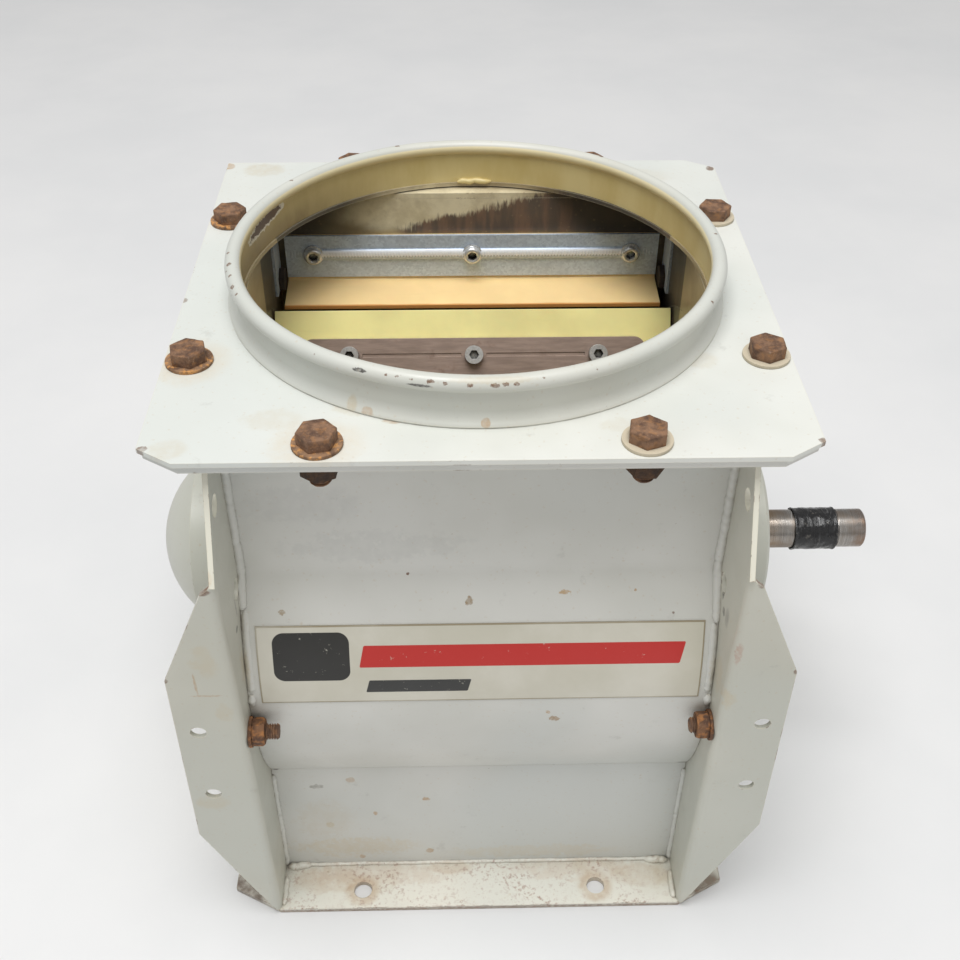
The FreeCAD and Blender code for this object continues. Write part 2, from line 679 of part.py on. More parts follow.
def make_bearing_parts():
    """A deep groove ball bearing on each side, in rings and balls, and the drive side's shaft seal."""
    pitch = (dim.bearing_outer + dim.bearing_inner) / 2
    middle = (dim.bearing_near + dim.bearing_far) / 2
    ball = dim.bearing_ball
    lip = pitch + dim.bearing_land
    low_lip = pitch - dim.bearing_land
    groove = ball + dim.ball_gap
    half_mouth = root(groove * groove - dim.bearing_land * dim.bearing_land)
    for side, turn in (("right", NO_TURN), ("left", HALF_TURN)):
        outer = turned(f"outer_race_{side}", [
            (dim.bearing_near, dim.bearing_outer), (dim.bearing_near, lip), (middle - half_mouth, lip),
            (middle + half_mouth, lip), (dim.bearing_far, lip), (dim.bearing_far, dim.bearing_outer),
        ], {2: -groove})
        keep(f"bearing_outer_ring_{side}", place(outer, AXIS_AT, turn))
        inner = turned(f"inner_race_{side}", [
            (dim.bearing_near, dim.bearing_inner), (dim.bearing_far, dim.bearing_inner),
            (dim.bearing_far, low_lip), (middle + half_mouth, low_lip), (middle - half_mouth, low_lip),
            (dim.bearing_near, low_lip),
        ], {3: -groove})
        keep(f"bearing_inner_ring_{side}", place(inner, AXIS_AT, turn))
    sphere = doc.addObject("Part::Sphere", "bearing_ball_form")
    bind(sphere, "Radius", ball)
    balls = []
    count = DIMENSIONS["ball_count"]
    for sign in SIDES.values():
        for number in range(count):
            angle = 2 * math.pi * number / count
            balls.append(spot(sign * middle, pitch * math.cos(angle),
                              dim.axis_height + pitch * math.sin(angle)))
    copies("bearing_balls", sphere, balls)
    seal_floor = dim.housing_end - dim.seal_width
    seal_bore = dim.bearing_inner + dim.seal_gap
    seal = turned("seal_ring", [
        (seal_floor, seal_bore), (dim.housing_end - dim.seal_lip, seal_bore),
        (dim.housing_end, seal_bore + dim.seal_lip), (dim.housing_end, dim.seal_radius),
        (seal_floor, dim.seal_radius),
    ])
    keep("shaft_seal_right", place(seal, AXIS_AT))


keep("end_cover_left", mirrored("end_cover_left_twin", make_end_cover(), X_AXIS))
make_bearing_housings()
make_cap()
make_bearing_parts()


# ---------------------------------------------------------------- rotor

def make_shaft():
    """The shaft, stepped down for the bearings and the drive end, with a snap ring groove behind its
    bare end and a keyway on its underside."""
    collar_end = dim.bearing_near
    bearing = dim.bearing_inner
    chamfer = dim.shaft_chamfer
    groove_floor = dim.drive_radius - dim.groove_low
    groove_end = dim.tape_end + dim.groove_run
    profile = [
        (-dim.shaft_left, 0), (-dim.shaft_left, bearing - chamfer), (chamfer - dim.shaft_left, bearing),
        (-collar_end, bearing), (-collar_end, dim.shaft_radius), (collar_end, dim.shaft_radius),
        (collar_end, bearing), (dim.drive_shoulder, bearing), (dim.drive_shoulder, dim.drive_radius),
        (dim.tape_end, dim.drive_radius), (dim.tape_end, groove_floor), (groove_end, groove_floor),
        (groove_end, dim.drive_radius), (dim.shaft_right - chamfer, dim.drive_radius),
        (dim.shaft_right, dim.drive_radius - chamfer), (dim.shaft_right, 0),
    ]
    blank = place(turned("shaft_blank", profile[::-1]), AXIS_AT)
    keyway = box("keyway", (dim.key_length, dim.key_width, dim.key_depth + 1),
                 (dim.key_start, -dim.key_width / 2, dim.axis_height - dim.drive_radius - 1))
    keep("rotor_shaft", cut("shaft_keyed", blank, [keyway]))


def make_key_and_tape():
    """The drive key on the shaft's underside, and the tape wrapped round the shaft and the key."""
    key_at = (dim.key_start, -dim.key_width / 2,
              dim.axis_height - dim.drive_radius + dim.key_depth - dim.key_height)
    key_lengths = (dim.key_length, dim.key_width, dim.key_height)
    keep("drive_key", box("key", key_lengths, key_at))
    length = dim.tape_end - dim.tape_start
    hump_width = dim.key_width + dim.tape_thick * 2
    wrapped = fuse("tape_outside", [
        cylinder("tape_round", dim.drive_radius + dim.tape_thick, length,
                 (dim.tape_start, 0, dim.axis_height), ALONG_X),
        box("tape_hump", (length, hump_width, dim.drive_radius),
            (dim.tape_start, -hump_width / 2, key_at[2] - dim.tape_under)),
    ])
    inside = [
        cylinder("tape_bore", dim.drive_radius, length + OVERRUN * 2,
                 (dim.tape_start - OVERRUN, 0, dim.axis_height), ALONG_X),
        box("tape_keyway", key_lengths, key_at),
    ]
    keep("shaft_tape", cut("tape", wrapped, inside))


def vane_angle(number):
    return DIMENSIONS["first_vane"] + 360 * number / DIMENSIONS["vane_count"]


def turned_about_axis(item, number):
    """Turn a piece drawn along +Y about the rotor's axis to the place of its vane."""
    return place(item, AXIS_AT, FreeCAD.Rotation(X_AXIS, vane_angle(number)))


def make_drum():
    """The welded rotor: a tube on two end discs, and eight vane plates drilled for their screws."""
    drum = dim.drum_radius
    bore = drum - dim.drum_wall
    tube = turned("drum_tube", [
        (-dim.drum_half, dim.shaft_radius), (dim.drum_disc - dim.drum_half, dim.shaft_radius),
        (dim.drum_disc - dim.drum_half, bore), (dim.drum_half - dim.drum_disc, bore),
        (dim.drum_half - dim.drum_disc, dim.shaft_radius), (dim.drum_half, dim.shaft_radius),
        (dim.drum_half, drum), (-dim.drum_half, drum),
    ])
    place(tube, AXIS_AT)
    vanes = []
    for number in range(DIMENSIONS["vane_count"]):
        weld_root = drum - dim.drum_wall / 2
        sheet = box(f"vane_sheet_{number}", (dim.drum_half * 2, dim.vane_reach - weld_root, dim.vane_sheet),
                    (-dim.drum_half, weld_root, -dim.vane_sheet))
        holes = [
            cylinder(f"vane_hole_{number}_{station + 1}", dim.slot_half, dim.vane_sheet * 3,
                     (station * dim.screw_pitch, dim.screw_reach, -dim.vane_sheet * 2))
            for station in SCREW_STATIONS
        ]
        vane = cut(f"vane_{number}", sheet, holes)
        turned_about_axis(vane, number)
        vanes.append(vane)
    return keep("rotor_drum", fuse("drum_weldment", [tube] + vanes))


def make_blade(number):
    """A flexible blade with three slots open to its root, so that it can be set out or changed."""
    half = dim.blade_half
    tip = root(dim.blade_tip * dim.blade_tip - dim.blade_thick * dim.blade_thick)
    outline = [(-half, dim.blade_root)]
    arcs = {}
    for station in SCREW_STATIONS:
        centre = station * dim.screw_pitch
        # Nearly a half circle, because a sketch can't hold an exact one by its ends and radius
        arcs[len(outline) + 1] = -dim.slot_half * 1.02
        slot_end = dim.screw_reach + dim.slot_spare
        outline += [
            (centre - dim.slot_half, dim.blade_root), (centre - dim.slot_half, slot_end),
            (centre + dim.slot_half, slot_end), (centre + dim.slot_half, dim.blade_root),
        ]
    outline += [(half, dim.blade_root), (half, tip), (-half, tip)]
    body = new_body(f"blade_sheet_{number}")
    pad(body, draw_outline(new_sketch(body, "XY_Plane"), outline, arcs), dim.blade_thick)
    turned_about_axis(body, number)
    return keep(f"blade_{number + 1}", body)


def make_clamp_strip(number):
    """The strip that clamps a blade: rounded outer corners, a pressed groove and three screw holes."""
    half = dim.strip_half
    corner = dim.strip_corner
    outer = dim.strip_root + dim.strip_width
    outline = [(-half, dim.strip_root), (half, dim.strip_root), (half, outer - corner),
               (half - corner, outer), (corner - half, outer), (-half, outer - corner)]
    body = new_body(f"strip_sheet_{number}")
    sketch = draw_outline(new_sketch(body, "XY_Plane", dim.blade_thick), outline, {2: corner, 4: corner})
    pad(body, sketch, dim.strip_thick)
    cutter = new_sketch(body, "XY_Plane", dim.blade_thick)
    for station in SCREW_STATIONS:
        draw_circle(cutter, station * dim.screw_pitch, dim.screw_reach, dim.slot_half)
    pocket_through(body, cutter)
    groove_floor = dim.blade_thick + dim.strip_thick - dim.groove_depth
    inset = dim.groove_inset
    grooves = [
        box(f"groove_{number}_{side}", (dim.screw_pitch - inset * 2, dim.groove_width, dim.strip_thick),
            (start, dim.screw_reach - dim.groove_width / 2, groove_floor))
        for side, start in (("left", inset - dim.screw_pitch), ("right", inset))
    ]
    strip = cut(f"strip_{number}", body, grooves)
    turned_about_axis(strip, number)
    return keep(f"clamp_strip_{number + 1}", strip)


def make_rotor_fasteners():
    """The socket screws and nuts that clamp the blades, three to a vane."""
    screw = socket_screw("blade_screw", dim.screw_head_height, dim.screw_length, dim.screw_socket)
    nut = hexagon_nut("blade_nut", dim.screw_nut, dim.screw_nut_height, dim.screw_radius)
    face = dim.blade_thick + dim.strip_thick
    screws, nuts = [], []
    for number in range(DIMENSIONS["vane_count"]):
        turn = FreeCAD.Placement(FreeCAD.Vector(0, 0, dim.axis_height.number),
                                 FreeCAD.Rotation(X_AXIS, vane_angle(number)))
        for station in SCREW_STATIONS:
            x = station * dim.screw_pitch
            screws.append(turn * spot(x, dim.screw_reach, face))
            nuts.append(turn * spot(x, dim.screw_reach, -dim.vane_sheet, UPSIDE_DOWN))
    copies("blade_screws", screw, screws)
    copies("blade_nuts", nut, nuts)


make_shaft()
make_key_and_tape()
make_drum()
for vane_number in range(DIMENSIONS["vane_count"]):
    make_blade(vane_number)
    make_clamp_strip(vane_number)
make_rotor_fasteners()


# ---------------------------------------------------------------- scraper

def make_scraper():
    """A flap on the rear throat wall that wipes the blades, and its ribbed clamp strip."""
    half = dim.scraper_half
    back = throat_inner
    front = front_of_flap
    bend = dim.flap_bend
    thick = dim.flap_thick
    # The flap hangs to the strip's lower edge, then turns forwards almost level
    centre_y = front - bend
    centre_z = dim.clamp_low - dim.flap_lift
    flap_top = dim.clamp_high - dim.flap_short
    outline = [
        (front, flap_top), (front, centre_z), (centre_y, centre_z - bend),
        (dim.flap_edge_y, dim.flap_edge_z), (dim.flap_edge_y, dim.flap_edge_z - thick),
        (centre_y, centre_z - bend - thick), (back, centre_z), (back, flap_top),
    ]
    body = new_body("flap_sheet")
    sketch = draw_outline(new_sketch(body, "YZ_Plane"), outline, {1: -bend, 5: bend + thick})
    pad(body, sketch, half * 2, both_ways=True)
    keep("scraper_flap", cut("flap", body, scraper_holes("flap_hole")))

    strip_front = front - dim.clamp_thick
    plate = box("clamp_plate", (half * 2, dim.clamp_thick, dim.clamp_high - dim.clamp_low),
                (-half, strip_front, dim.clamp_low))
    rib_y = strip_front + dim.rib_radius - dim.rib_proud
    reach = dim.scraper_screw_x - dim.rib_gap * 2
    ribs = [cylinder(f"clamp_rib_{side}", dim.rib_radius, reach, (start, rib_y, dim.scraper_screw_z), ALONG_X)
            for side, start in (("left", dim.rib_gap - dim.scraper_screw_x), ("right", dim.rib_gap))]
    ribbed = fuse("clamp_ribbed", [plate] + ribs)
    behind_strip = box("rib_trim", (half * 2, OVERRUN, dim.rib_radius * 4),
                       (-half, front, dim.scraper_screw_z - dim.rib_radius * 2))
    keep("scraper_strip", cut("clamp", ribbed, [behind_strip] + scraper_holes("strip_hole")))


def make_scraper_fasteners():
    """The low screws of the clamp strip, with washers in front and nuts behind the throat wall."""
    strip_front = front_of_flap - dim.clamp_thick
    head_face = strip_front - dim.screw_washer_thick
    facing = FreeCAD.Rotation(X_AXIS, 90)
    behind = FreeCAD.Rotation(X_AXIS, -90)
    disc = washer("scraper_washer", dim.screw_washer, dim.screw_washer_bore, dim.screw_washer_thick)
    screw = socket_screw("scraper_screw", dim.low_head_height, dim.low_screw_length, dim.low_socket)
    nut = hexagon_nut("scraper_nut", dim.screw_nut, dim.screw_nut_height, dim.screw_radius)
    for node, form, y, turn in (("scraper_washers", disc, strip_front, facing),
                                ("scraper_screws", screw, head_face, facing),
                                ("scraper_nuts", nut, dim.throat_outer, behind)):
        copies(node, form, [spot(station * dim.scraper_screw_x, y, dim.scraper_screw_z, turn)
                            for station in SCREW_STATIONS])


def make_cheeks():
    """The plates beside the scraper's ends and the bolts that hold them to the end plates."""
    lengths = (dim.cheek_thick, front_of_flap - dim.cheek_front, dim.cheek_high - dim.cheek_low)
    plate = box("cheek_sheet", lengths, (dim.inner_half - dim.cheek_thick, dim.cheek_front, dim.cheek_low))
    hole = cylinder("cheek_hole", dim.bolt_hole_radius, OVERRUN * 2,
                    (dim.inner_half - OVERRUN, dim.cheek_bolt_y, dim.cheek_bolt_z), ALONG_X)
    cheek = keep("scraper_cheek_right", cut("cheek", plate, [hole]))
    keep("scraper_cheek_left", mirrored("cheek_left_twin", cheek, X_AXIS))
    head = hexagon("cheek_bolt_head", dim.cheek_bolt_head, dim.cheek_head_height)
    bolt = hexagon_bolt("cheek_bolt", head, dim.cover_bolt_radius, dim.cheek_grip)
    nut = hexagon_nut("cheek_nut", dim.cover_nut, dim.cover_nut_height, dim.cover_bolt_radius)
    bolts, nuts = [], []
    for sign in SIDES.values():
        inward = FreeCAD.Rotation(Y_AXIS, -90 * sign)
        outward = FreeCAD.Rotation(Y_AXIS, 90 * sign)
        head_face = dim.inner_half - dim.cheek_thick
        bolts.append(spot(sign * head_face, dim.cheek_bolt_y, dim.cheek_bolt_z, inward))
        nuts.append(spot(sign * plate_outer, dim.cheek_bolt_y, dim.cheek_bolt_z, outward))
    copies("scraper_end_bolts", bolt, bolts)
    copies("scraper_end_nuts", nut, nuts)


make_scraper()
make_scraper_fasteners()
make_cheeks()


# ---------------------------------------------------------------- housing fasteners

def make_flange_fasteners():
    """The bolts, washers and nuts that hold the inlet plate on the body's flange."""
    disc = washer("flange_washer_form", dim.flange_washer, dim.flange_washer_bore, dim.washer_thick)
    crown = doc.addObject("Part::Cone", "flange_bolt_crown")
    bind(crown, "Radius1", dim.flange_washer)
    bind(crown, "Radius2", dim.flange_crown)
    bind(crown, "Height", dim.flange_head_height)
    head = common("flange_bolt_head",
                  hexagon("flange_bolt_hexagon", dim.flange_bolt_head, dim.flange_head_height), crown)
    bolt = hexagon_bolt("flange_bolt_form", head, dim.flange_bolt_radius, dim.flange_grip)
    nut = hexagon_nut("flange_nut_form", dim.flange_bolt_head, dim.flange_nut_height, dim.flange_bolt_radius)
    washers, bolts, nuts = [], [], []
    for (x, y), turn in zip(FLANGE_HOLES, INLET_BOLT_TURNS):
        washers.append(spot(x, y, inlet_top))
        bolts.append(spot(x, y, inlet_top + dim.washer_thick, FreeCAD.Rotation(Z_AXIS, turn)))
        nuts.append(spot(x, y, flange_bottom, UPSIDE_DOWN * FreeCAD.Rotation(Z_AXIS, 3 * turn)))
    copies("inlet_washers", disc, washers)
    copies("inlet_bolts", bolt, bolts)
    copies("inlet_nuts", nut, nuts)


def make_cover_fasteners():
    """The bolts of the end covers. Their nuts and washers are on the inner faces of the end plates;
    the left side has the longer bolts."""
    disc = washer("cover_washer_form", dim.cover_washer, dim.cover_washer_bore, dim.washer_thick)
    nut = hexagon_nut("cover_nut_form", dim.cover_nut, dim.cover_nut_height, dim.cover_bolt_radius)
    bolt_z = dim.axis_height - dim.cover_bolt_drop
    nut_turn = FreeCAD.Rotation(Z_AXIS, COVER_NUT_TURN)
    washers, nuts, bolts = [], [], []
    for side, grip in (("left", dim.cover_grip_left), ("right", dim.cover_grip_right)):
        sign = SIDES[side]
        head = hexagon(f"cover_bolt_head_{side}", dim.cover_bolt_head, dim.cover_head_height)
        bolt = hexagon_bolt(f"cover_bolt_{side}", head, dim.cover_bolt_radius, grip)
        doc.recompute()
        inward = FreeCAD.Rotation(Y_AXIS, -90 * sign)
        outward = FreeCAD.Rotation(Y_AXIS, 90 * sign)
        for way in ENDS.values():
            y = way * dim.cover_bolt_circle
            washers.append(spot(sign * dim.inner_half, y, bolt_z, inward))
            nuts.append(spot(sign * (dim.inner_half - dim.washer_thick), y, bolt_z, inward * nut_turn))
            head_at = spot(sign * (plate_outer + dim.cover_thick), y, bolt_z, outward)
            bolts.append(bolt.Shape.transformed(head_at.toMatrix()))
    copies("cover_washers", disc, washers)
    copies("cover_nuts", nut, nuts)
    both_lengths = doc.addObject("Part::Feature", "cover_bolts")
    both_lengths.Shape = Part.makeCompound(bolts)
    keep("cover_bolts", both_lengths)


make_flange_fasteners()
make_cover_fasteners()


# ---------------------------------------------------------------- checks and export

doc.recompute()
for item in doc.Objects:
    if any(state in ("Invalid", "Error") for state in item.State):
        raise RuntimeError(f"{item.Label}: {item.State}")
for node, item in parts.items():
    if item.Shape.isNull() or not item.Shape.isValid():
        raise RuntimeError(f"{node}: the shape is null or not valid")

os.makedirs("parts", exist_ok=True)
for node, item in parts.items():
    item.Shape.exportStep(f"parts/{node}.step")
print(len(parts), "sub-parts,", sum(len(item.Shape.Solids) for item in parts.values()), "solids")
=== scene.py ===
# %% [markdown]
# # Dressing a rotary airlock valve
# The construction of this valve is already drawn: two square flanges, a welded body of bent and
# rolled sheets, a bladed rotor, a wiping flap and their fasteners. This lesson gives it its looks.
# Sheet metal edges are rounded, welds and threads are added, and every surface gets a worn finish.
# The frame loaded here holds the drawn parts, in metres, and each one is looked up by its name.

# %% Load the frame
import bmesh
import bpy
import math
import random
from mathutils import Matrix, Vector


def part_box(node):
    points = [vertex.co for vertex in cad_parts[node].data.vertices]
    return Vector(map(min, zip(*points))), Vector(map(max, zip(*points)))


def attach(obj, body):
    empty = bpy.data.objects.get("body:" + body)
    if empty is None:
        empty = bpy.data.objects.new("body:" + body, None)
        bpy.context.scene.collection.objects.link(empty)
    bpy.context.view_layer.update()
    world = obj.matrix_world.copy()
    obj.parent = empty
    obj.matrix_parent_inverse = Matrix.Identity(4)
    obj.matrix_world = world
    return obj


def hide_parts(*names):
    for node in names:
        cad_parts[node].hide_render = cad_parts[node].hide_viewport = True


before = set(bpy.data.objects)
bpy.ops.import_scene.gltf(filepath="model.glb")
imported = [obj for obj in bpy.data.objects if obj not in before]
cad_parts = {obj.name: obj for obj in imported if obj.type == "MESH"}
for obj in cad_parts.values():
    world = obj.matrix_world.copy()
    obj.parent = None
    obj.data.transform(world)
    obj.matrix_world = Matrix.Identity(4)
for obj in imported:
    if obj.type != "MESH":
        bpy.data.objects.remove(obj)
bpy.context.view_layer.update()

MM = 0.001

# %% [markdown]
# ## Sizes
# Nothing is measured twice. The shaft's height, the throat's walls and the collar come from the boxes of
# the drawn parts, so that the dressing fits them if the drawing changes.

# %% Main sizes from the drawn parts
shaft_low, shaft_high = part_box("rotor_shaft")
collar_low, collar_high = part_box("inlet_collar")
throat_low, throat_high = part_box("shell_front")
AXIS_Z = (shaft_low.z + shaft_high.z) / 2
INNER_X = throat_high.x
BARREL = -throat_low.y
WALL_INSIDE_Y = 133.5 * MM
print("axis", round(AXIS_Z, 4), "half width", round(INNER_X, 4), "barrel", round(BARREL, 4))

# %% [markdown]
# ## Camera, light and floor
# A machine part is judged in plain light. One big lamp hangs overhead, so that light falls down the
# throat, a weaker one fills from the front, and the world gives the rest. The floor is pale, and it
# keeps the valve's shadow.

# %% Camera
EYE = Vector((-14.6, -649.5, 787)) * MM
YAW, PITCH, ROLL = -0.0273, -0.6850, -0.0058
SENSOR = 36
FOCAL_IN_FRAME_WIDTHS = 1.2409

bpy.ops.object.camera_add()
camera = bpy.context.object
camera.data.sensor_width = SENSOR
camera.data.lens = SENSOR * FOCAL_IN_FRAME_WIDTHS
turn = (Matrix.Rotation(YAW, 4, "Z") @ Matrix.Rotation(PITCH, 4, "X") @ Matrix.Rotation(ROLL, 4, "Y")
        @ Matrix.Rotation(math.radians(90), 4, "X"))
camera.matrix_world = Matrix.Translation(EYE) @ turn
bpy.context.scene.camera = camera
bpy.context.scene.view_settings.view_transform = "Standard"
print("lens", round(camera.data.lens, 2), "mm")

# %% Lamps and world


def add_lamp(name, place, aim, side, watts):
    """A square lamp at a place, turned to face a point."""
    bpy.ops.object.light_add(type="AREA", location=place)
    lamp = bpy.context.object
    lamp.name = name
    lamp.data.size = side
    lamp.data.energy = watts
    lamp.rotation_euler = (Vector(aim) - Vector(place)).to_track_quat("-Z", "Y").to_euler()
    return lamp


CENTRE = (0, 0, 0.25)
add_lamp("overhead_lamp", (-0.25, -0.8, 4.1), CENTRE, 2.4, 140)
add_lamp("front_lamp", (0.9, -2.4, 1.6), CENTRE, 1.6, 2)

world = bpy.data.worlds.new("studio")
bpy.context.scene.world = world
world.use_nodes = True
world.node_tree.nodes["Background"].inputs["Color"].default_value = (1.0, 0.995, 0.985, 1.0)
world.node_tree.nodes["Background"].inputs["Strength"].default_value = 0.42

# %% [markdown]
# ## Tools for finishes
# A finish is a tree of nodes. Small helpers keep the trees readable: they add a node, with its settings
# and links, to the tree that lies on the bench, or place a shared node group in it. Every pattern reads
# the piece's own Object coordinates, which are metres here, so a noise scale of 200 makes blotches of
# about 5 mm.

# %% Node helpers
bench = {}


def set_sockets(item, sockets):
    """Link or set a node's inputs, given by name or number."""
    for key, value in sockets.items():
        if isinstance(value, bpy.types.NodeSocket):
            bench["tree"].links.new(value, item.inputs[key])
        else:
            item.inputs[key].default_value = value
    return item


def add(kind, sockets=None, **settings):
    """Add a shader node with its settings and inputs."""
    item = bench["tree"].nodes.new("ShaderNode" + kind)
    for key, value in settings.items():
        setattr(item, key, value)
    return set_sockets(item, sockets or {})


def use(group, place, **inputs):
    """Place a shared group and return its outputs."""
    sockets = {"Place": place, **{key.title(): value for key, value in inputs.items()}}
    return add("Group", sockets, node_tree=group).outputs


def mixed(factor, first, second, how="MIX"):
    """Mix two colours. A colour is a socket or three numbers."""
    first, second = (c if isinstance(c, bpy.types.NodeSocket) else (*c, 1) for c in (first, second))
    return add("Mix", {0: factor, 6: first, 7: second}, data_type="RGBA", blend_type=how).outputs[2]


def scaled(colour, *factors):
    """A plain colour made brighter or darker, by one factor or by one for each of its numbers."""
    return [min(1.0, c * k) for c, k in zip(colour, factors if len(factors) > 1 else factors * 3)]


def calc(operation, *values):
    """One sum on numbers."""
    return add("Math", dict(enumerate(values)), operation=operation).outputs[0]


def times(first, second):
    """Multiply."""
    return calc("MULTIPLY", first, second)


def plus(first, second):
    """Add."""
    return calc("ADD", first, second)


def minus(first, second):
    """Subtract."""
    return calc("SUBTRACT", first, second)


def length_of(first, second):
    """The long side of a square-cornered triangle."""
    return calc("SQRT", plus(times(first, first), times(second, second)))


def sums(operation, first, second=(0, 0, 0)):
    """One sum on vectors."""
    return add("VectorMath", {0: first, 1: second}, operation=operation).outputs[0]


def apart(place):
    """The x, y and z of a place."""
    return add("SeparateXYZ", {0: place}).outputs


def ramp(value, low, high, low_to=0.0, high_to=1.0):
    """A smooth step from one level to another. The ends may be given in falling order."""
    sockets = {"Value": value, "From Min": low, "From Max": high, "To Min": low_to, "To Max": high_to}
    return add("MapRange", sockets, interpolation_type="SMOOTHSTEP").outputs["Result"]


def noise(place, scale, detail=4.0, rough=0.55, bend=0.0, output="Fac"):
    """Cloudy noise between 0 and 1, mostly near 0.5, or three of them as a colour."""
    return add("TexNoise", {"Vector": place, "Scale": scale, "Detail": detail, "Roughness": rough,
                            "Distortion": bend}).outputs[output]


def stretched(place, scale=(1, 1, 1), turn=(0, 0, 0)):
    """Object coordinates, turned and scaled along each axis."""
    return add("Mapping", {"Vector": place, "Rotation": turn, "Scale": scale}).outputs[0]


def ragged(place, scale, detail, rough, amount):
    """A place pushed about by noise, so that a pattern read there has ragged edges."""
    push = sums("MULTIPLY", noise(place, scale, detail, rough, output="Color"), (amount, amount, amount))
    return sums("ADD", place, push)


def new_group(name, inputs, outputs=("Mask",)):
    """Put an empty group on the bench. Every group has a place; its numbers are given by name and value."""
    tree = bench["tree"] = bpy.data.node_groups.new(name, "ShaderNodeTree")
    tree.interface.new_socket("Place", in_out="INPUT", socket_type="NodeSocketVector")
    for label, value in inputs.items():
        kind = "Vector" if isinstance(value, tuple) else "Float"
        socket = tree.interface.new_socket(label, in_out="INPUT", socket_type="NodeSocket" + kind)
        socket.default_value = value
    for label in outputs:
        kind = "Color" if label == "Color" else "Float"
        tree.interface.new_socket(label, in_out="OUTPUT", socket_type="NodeSocket" + kind)
    return tree.nodes.new("NodeGroupInput").outputs


def put_out(**outputs):
    """Link a group's results to its outputs, and return the group."""
    ends = bench["tree"].nodes.new("NodeGroupOutput")
    set_sockets(ends, {key.title(): value for key, value in outputs.items()})
    return bench["tree"]


# %% [markdown]
# ## Shared effects
# Age looks the same on every painted sheet: tan stains where water dried, rust that breaks through in
# specks, bare metal on the edges, and darkening in the corners, which is partly grime and partly painted
# shade. Each effect is a group that gives a mask, so that every material can use it in its own amount
# and colour.

# %% Stains and specks


def make_stains():
    """Soft, uneven patches of dried water and dust."""
    given = new_group("stains", {"Scale": 14.0, "Cover": 0.3})
    clouds = noise(given["Place"], given["Scale"], 6, 0.6, 0.4)
    level = minus(0.86, times(given["Cover"], 0.6))
    top = plus(level, 0.16)
    return put_out(mask=ramp(clouds, level, top))


def make_specks():
    """Small rust pits, gathered in loose groups. Each cell of the pattern holds at most one."""
    given = new_group("specks", {"Scale": 180.0, "Cover": 0.2}, ("Mask", "Halo"))
    place = ragged(given["Place"], 700.0, 4.0, 0.7, 0.004)
    cells = add("TexVoronoi", {"Vector": place, "Scale": given["Scale"]})
    chance = add("SeparateColor", {0: cells.outputs["Color"]}).outputs[0]
    crowd = noise(given["Place"], 22.0, 3)
    wanted = times(given["Cover"], ramp(crowd, 0.38, 0.62, 0.15, 2.0))
    size = times(minus(wanted, chance), 1.6)
    size = add("Clamp", {"Value": size, "Min": 0.0, "Max": 0.30}).outputs[0]
    near = minus(size, cells.outputs["Distance"])
    return put_out(mask=ramp(near, 0.0, 0.07), halo=ramp(near, -0.22, 0.03))


stains, specks = make_stains(), make_specks()
print("groups:", [group.name for group in bpy.data.node_groups])

# %% Edges and corners


def make_edge_wear():
    """A ragged band along outer edges, where paint is knocked off. The Bevel node bends the normal
    near an edge, so its difference from the true normal finds the edge."""
    given = new_group("edge_wear", {"Width": 0.0012, "Wear": 0.5}, ("Bare", "Rubbed"))
    rounded = add("Bevel", {"Radius": given["Width"]}, samples=6).outputs[0]
    true = add("NewGeometry").outputs["True Normal"]
    turned = minus(1.0, add("VectorMath", {0: rounded, 1: true}, operation="DOT_PRODUCT").outputs["Value"])
    broken = noise(given["Place"], 55.0, 6, 0.7)
    fine = noise(given["Place"], 420.0, 3)
    chance = plus(times(broken, 0.75), times(fine, 0.25))
    level = minus(0.78, times(given["Wear"], 0.42))
    here = ramp(turned, 0.03, 0.16)
    bare = times(here, ramp(chance, level, plus(level, 0.05)))
    return put_out(bare=bare, rubbed=ramp(turned, 0.01, 0.12))


def make_grime_and_shade():
    """Darkening in inner corners, found by ambient occlusion and broken up by noise: partly grime, and partly
    painted shade where the corners lie in shadow.
    """
    given = new_group("grime_and_shade", {"Reach": 0.012, "Amount": 0.5})
    shade = add("AmbientOcclusion", {"Distance": given["Reach"]}, samples=6).outputs["AO"]
    clouds = noise(given["Place"], 90.0, 5, 0.65)
    close = ramp(shade, 0.75, 0.15)
    mask = times(close, ramp(clouds, 0.32, 0.66, 0.25, 1.0))
    return put_out(mask=times(mask, given["Amount"]))


edge_wear, grime_and_shade = make_edge_wear(), make_grime_and_shade()

# %% Patches, rust and scratches


def make_patch():
    """One ragged spot at a place on the valve, for marks that are found only there."""
    given = new_group("patch", {"Centre": (0, 0, 0), "Size": (0.01, 0.01, 0.01), "Ragged": 0.006,
                                "Grain": 120.0, "Soft": 0.25})
    rough = add("TexNoise", {"Vector": given["Place"], "Scale": given["Grain"], "Detail": 5.0,
                             "Roughness": 0.65})
    even = sums("SUBTRACT", rough.outputs["Color"], (0.5, 0.5, 0.5))
    push = add("VectorMath", {0: even, "Scale": given["Ragged"]}, operation="SCALE").outputs[0]
    off = sums("SUBTRACT", sums("ADD", given["Place"], push), given["Centre"])
    in_sizes = sums("DIVIDE", off, given["Size"])
    length = add("VectorMath", {0: in_sizes}, operation="LENGTH").outputs["Value"]
    thin = ramp(rough.outputs["Fac"], 0.30, 0.62, 0.45, 1.0)
    spot = ramp(length, plus(1.0, given["Soft"]), minus(1.0, given["Soft"]))
    return put_out(mask=times(spot, thin))


